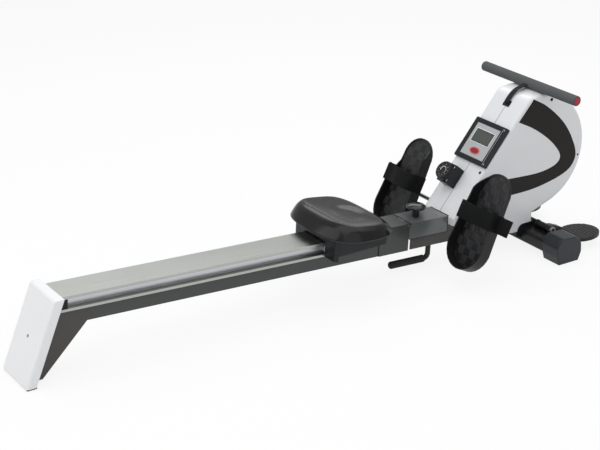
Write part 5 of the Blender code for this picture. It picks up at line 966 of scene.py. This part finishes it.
def seam():
    """A thin dark strip along the casing's outline on its middle plane, in the gap between the shells:
    painted shade in the seam.
    """
    skirt, beside_slot, beside_console = -0.338, 0.004, 0.001
    slot_low, slot_high = SLOT_UP - SLOT_LENGTH / 2 - beside_slot, SLOT_UP + SLOT_LENGTH / 2 + beside_slot
    console_low = -CONSOLE_DOWN - CONSOLE_LENGTH / 2 - beside_console
    console_high = -CONSOLE_DOWN + CONSOLE_LENGTH / 2 + beside_console
    crest_up = sqrt(CASING_RADIUS**2 - FACE_DISTANCE**2)
    on_face = lambda up: placed(np.array([up, 0, 0]), FACE)[[0, 2]]
    crest = on_face(crest_up)
    turn = atan2(crest[1] - WHEEL[2], crest[0] - WHEEL[0]) - radians(14)
    round_front = circle(CASING_RADIUS, 60, turn, radians(-72) - turn, WHEEL[[0, 2]], ends=True)
    over = rounded([(*on_face(slot_high), 0), (*crest, 0.040), (*round_front[0], 0)], 12, closed=False)[:-1]
    runs = {
        "low": np.stack([on_face(skirt), on_face(console_low)]),
        "middle": np.stack([on_face(console_high), on_face(slot_low)]),
        "top": np.vstack([over, round_front]),
    }
    section = rectangle(0.0009, 0.0011, 0.0003, 2)
    for name, run in runs.items():
        # Dark strips in the gap between the shells: painted shade
        seal = carried(section, upright(run))
        surface(f"seam_shade_{name}", seal, WORLD, BEZEL, "frame", "grey_plastic", sharp=60)


def screw(name, matrix, radius, body, material, slot):
    """A round head: a dome over the radius, with a cross pressed in within the arms' width and length."""
    share, steps = np.linspace(0, 1, 22)[:, None], 64
    arm_width, arm_length, cross_depth = 0.15 * radius, 0.56 * radius, 0.24 * radius
    x, y = (radius * share * around for around in circle(1.0, steps).T)
    dome = 0.35 * radius * np.sqrt(np.maximum(1 - 0.92 * share**2, 0)) + 0 * x
    in_width = lambda a: soft_step((arm_width - np.abs(a)) / (0.06 * radius) + 0.5)
    in_length = lambda a: soft_step((arm_length - np.abs(a)) / (0.10 * radius))
    cross = np.maximum(in_width(x) * in_length(y), in_width(y) * in_length(x))
    top = np.stack([x, y, dome - cross_depth * cross], -1)
    foot = np.stack([x[-1:], y[-1:], np.full((1, steps), -0.0006)], -1)
    points = np.concatenate([top, foot, foot * (0, 0, 1)])
    surface(name, points, matrix, material, body, slot, caps=False, sharp=40)


def small_screws():
    """Screws of the console, the casing's front and the leaning rear cap."""
    for i, up in enumerate((-0.0130, -0.1410)):
        there = moved(FACE, up, -0.0650, CONSOLE_TOP)
        screw(f"console_screw_{i + 1}", there, 0.0028, "frame", CAST_IRON, "bare_steel")
    screw("casing_front_screw", moved(FACE, -0.1680, -0.0640), 0.0050, "frame", BLACK, "black_plastic")
    low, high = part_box("rear_cap")
    up, cap_rise = 0.127, high[2] - CAP_FOOT
    lean = atan2(CAP_LEAN, cap_rise)
    at = (low[0] + CAP_LEAN * (up - CAP_FOOT) / cap_rise, 0, up)
    on_cap = axes(at, (sin(lean), 0, cos(lean)), (-cos(lean), 0, sin(lean)))
    screw("rear_cap_screw", on_cap, 0.0050, "rail", CAST_IRON, "bare_steel")


# Foot plates of the stabiliser


def foot_plates():
    """Bars across each oval foot plate, as wide as the oval there, and a bright ring on its pin's end."""
    ring_outer, ring_inner, recess_radius, around = 0.0108, 0.0062, 0.0060, 48
    for side_name, sign in SIDES:
        low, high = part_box(f"step_plate_{side_name}")
        centre = (high[0] - STEP_LENGTH / 2, (low[1] + high[1]) / 2, STEP_TOP)
        here = axes(centre, (1, 0, 0), (0, 0, 1))
        for i, x in enumerate(np.linspace(-STEP_BARS, STEP_BARS, 9)):
            width = STEP_WIDTH * sqrt(1 - (2 * x / STEP_LENGTH) ** 2) - 0.0080
            bar = plate(rectangle(0.0058, width, 0.0022, 4, centre=(x, 0)), -0.0050, 0.0009, 0.0007, 3)
            surface(f"step_bar_{side_name}_{i + 1}", bar, here, BLACK, f"step_{side_name}", "black_plastic")
        pin = f"step_pin_{side_name}"
        low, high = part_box(pin)
        end = middle(pin) + (0, sign * (high[1] - low[1]) / 2, 0)
        on_pin = axes(end, (1, 0, 0), (0, sign, 0))
        outer, inner = circle(ring_outer, around), circle(ring_inner, around)
        ring = window_frame(outer, inner, -0.0003, 0.0010, 0.0004, 2)
        looped(f"pin_ring_{side_name}", ring, on_pin, SILVER, "frame", "silver_plastic")
        recess = plate(circle(recess_radius, around), -0.0003, 0.0002)
        surface(f"pin_recess_{side_name}", recess, on_pin, RUBBER, "frame", "rubber")


# Stage

FLOOR_SEEN, SURROUNDINGS_IN_GLOSS, AMBIENT = 0.87, 0.55, 0.50


def pale_floor():
    """A wide floor that renders nearly white to the camera and in reflections, and keeps soft shadows."""
    bpy.ops.mesh.primitive_plane_add(size=60)
    floor = bpy.context.object
    floor.name = "floor"
    floor.location = (0, 0, -0.0005)
    material = bpy.data.materials.new("pale_floor")
    material.use_nodes = True
    tree = material.node_tree
    tree.nodes.clear()
    diffuse = add(tree, "BsdfDiffuse", {"Color": (0.86, 0.86, 0.86, 1)})
    white = add(tree, "Emission", {"Color": (1, 1, 1, 1), "Strength": 1.0})
    rays = add(tree, "LightPath").outputs
    to_camera = calculate(tree, "MULTIPLY", rays["Is Camera Ray"], FLOOR_SEEN)
    in_gloss = calculate(tree, "MULTIPLY", rays["Is Glossy Ray"], SURROUNDINGS_IN_GLOSS)
    share = calculate(tree, "MAXIMUM", to_camera, in_gloss)
    mixed = add(tree, "MixShader", {0: share, 1: diffuse.outputs[0], 2: white.outputs[0]})
    out = add(tree, "OutputMaterial", {"Surface": mixed.outputs[0]})
    out.is_active_output = True
    floor.data.materials.append(material)


def white_surroundings():
    """A white world for the camera and through glass, a paler one in gloss, and a soft light for the rest."""
    world = bpy.data.worlds.new("studio")
    bpy.context.scene.world = world
    world.use_nodes = True
    tree = world.node_tree
    rays = add(tree, "LightPath").outputs
    seen = calculate(tree, "MAXIMUM", rays["Is Camera Ray"], rays["Is Transmission Ray"])
    glossy = calculate(tree, "MULTIPLY", rays["Is Glossy Ray"], SURROUNDINGS_IN_GLOSS)
    other = calculate(tree, "SUBTRACT", 1.0, calculate(tree, "MAXIMUM", seen, rays["Is Glossy Ray"]))
    filling = calculate(tree, "MULTIPLY", other, AMBIENT)
    strongest = calculate(tree, "MAXIMUM", calculate(tree, "MAXIMUM", seen, glossy), filling)
    tree.links.new(strongest, tree.nodes["Background"].inputs["Strength"])
    tree.nodes["Background"].inputs["Color"].default_value = (1, 1, 1, 1)


def softbox(name, location, target, size, power):
    """A wide lamp that faces its target."""
    light = bpy.data.lights.new(name, "AREA")
    light.shape = "RECTANGLE"
    light.size, light.size_y = size
    light.energy = power
    lamp = bpy.data.objects.new(name, light)
    lamp.location = location
    lamp.rotation_euler = (Vector(target) - Vector(location)).to_track_quat("-Z", "Y").to_euler()
    bpy.context.scene.collection.objects.link(lamp)


def camera():
    """The photograph's viewpoint: behind the seat to the right, 23 degrees above the level."""
    lens = bpy.data.cameras.new("camera")
    lens.lens = 93.95
    lens.sensor_width = 36
    lens.clip_end = 100
    eye = bpy.data.objects.new("camera", lens)
    eye.location = (-2.4802, -3.6565, 2.1051)
    eye.rotation_euler = Vector((0.5067, 0.7688, -0.3901)).to_track_quat("-Z", "Y").to_euler()
    bpy.context.scene.collection.objects.link(eye)
    bpy.context.scene.camera = eye


def stage():
    pale_floor()
    white_surroundings()
    softbox("overhead_softbox", (0.2, -0.3, 2.8), (0.2, 0, 0.2), (4.6, 3.0), 50)
    softbox("left_softbox", (-2.6, 0.9, 1.9), (0, 0, 0.3), (3.0, 2.2), 24)
    softbox("front_softbox", (-0.8, -3.0, 1.8), (0.2, 0, 0.2), (4.4, 2.6), 16)
    softbox("back_strip", (1.5, 2.3, 2.4), (0.1, 0, 0.2), (3.0, 0.80), 20)
    camera()
    bpy.context.scene.view_settings.view_transform = "Standard"


dress_nodes()
rail_tracks()
seat_cushion()
handle()
pull_strap()
console()
dial()
foot_rests()
fold_controls()
cover_strips_and_shade()
casing_trim()
small_screws()
foot_plates()
stage()
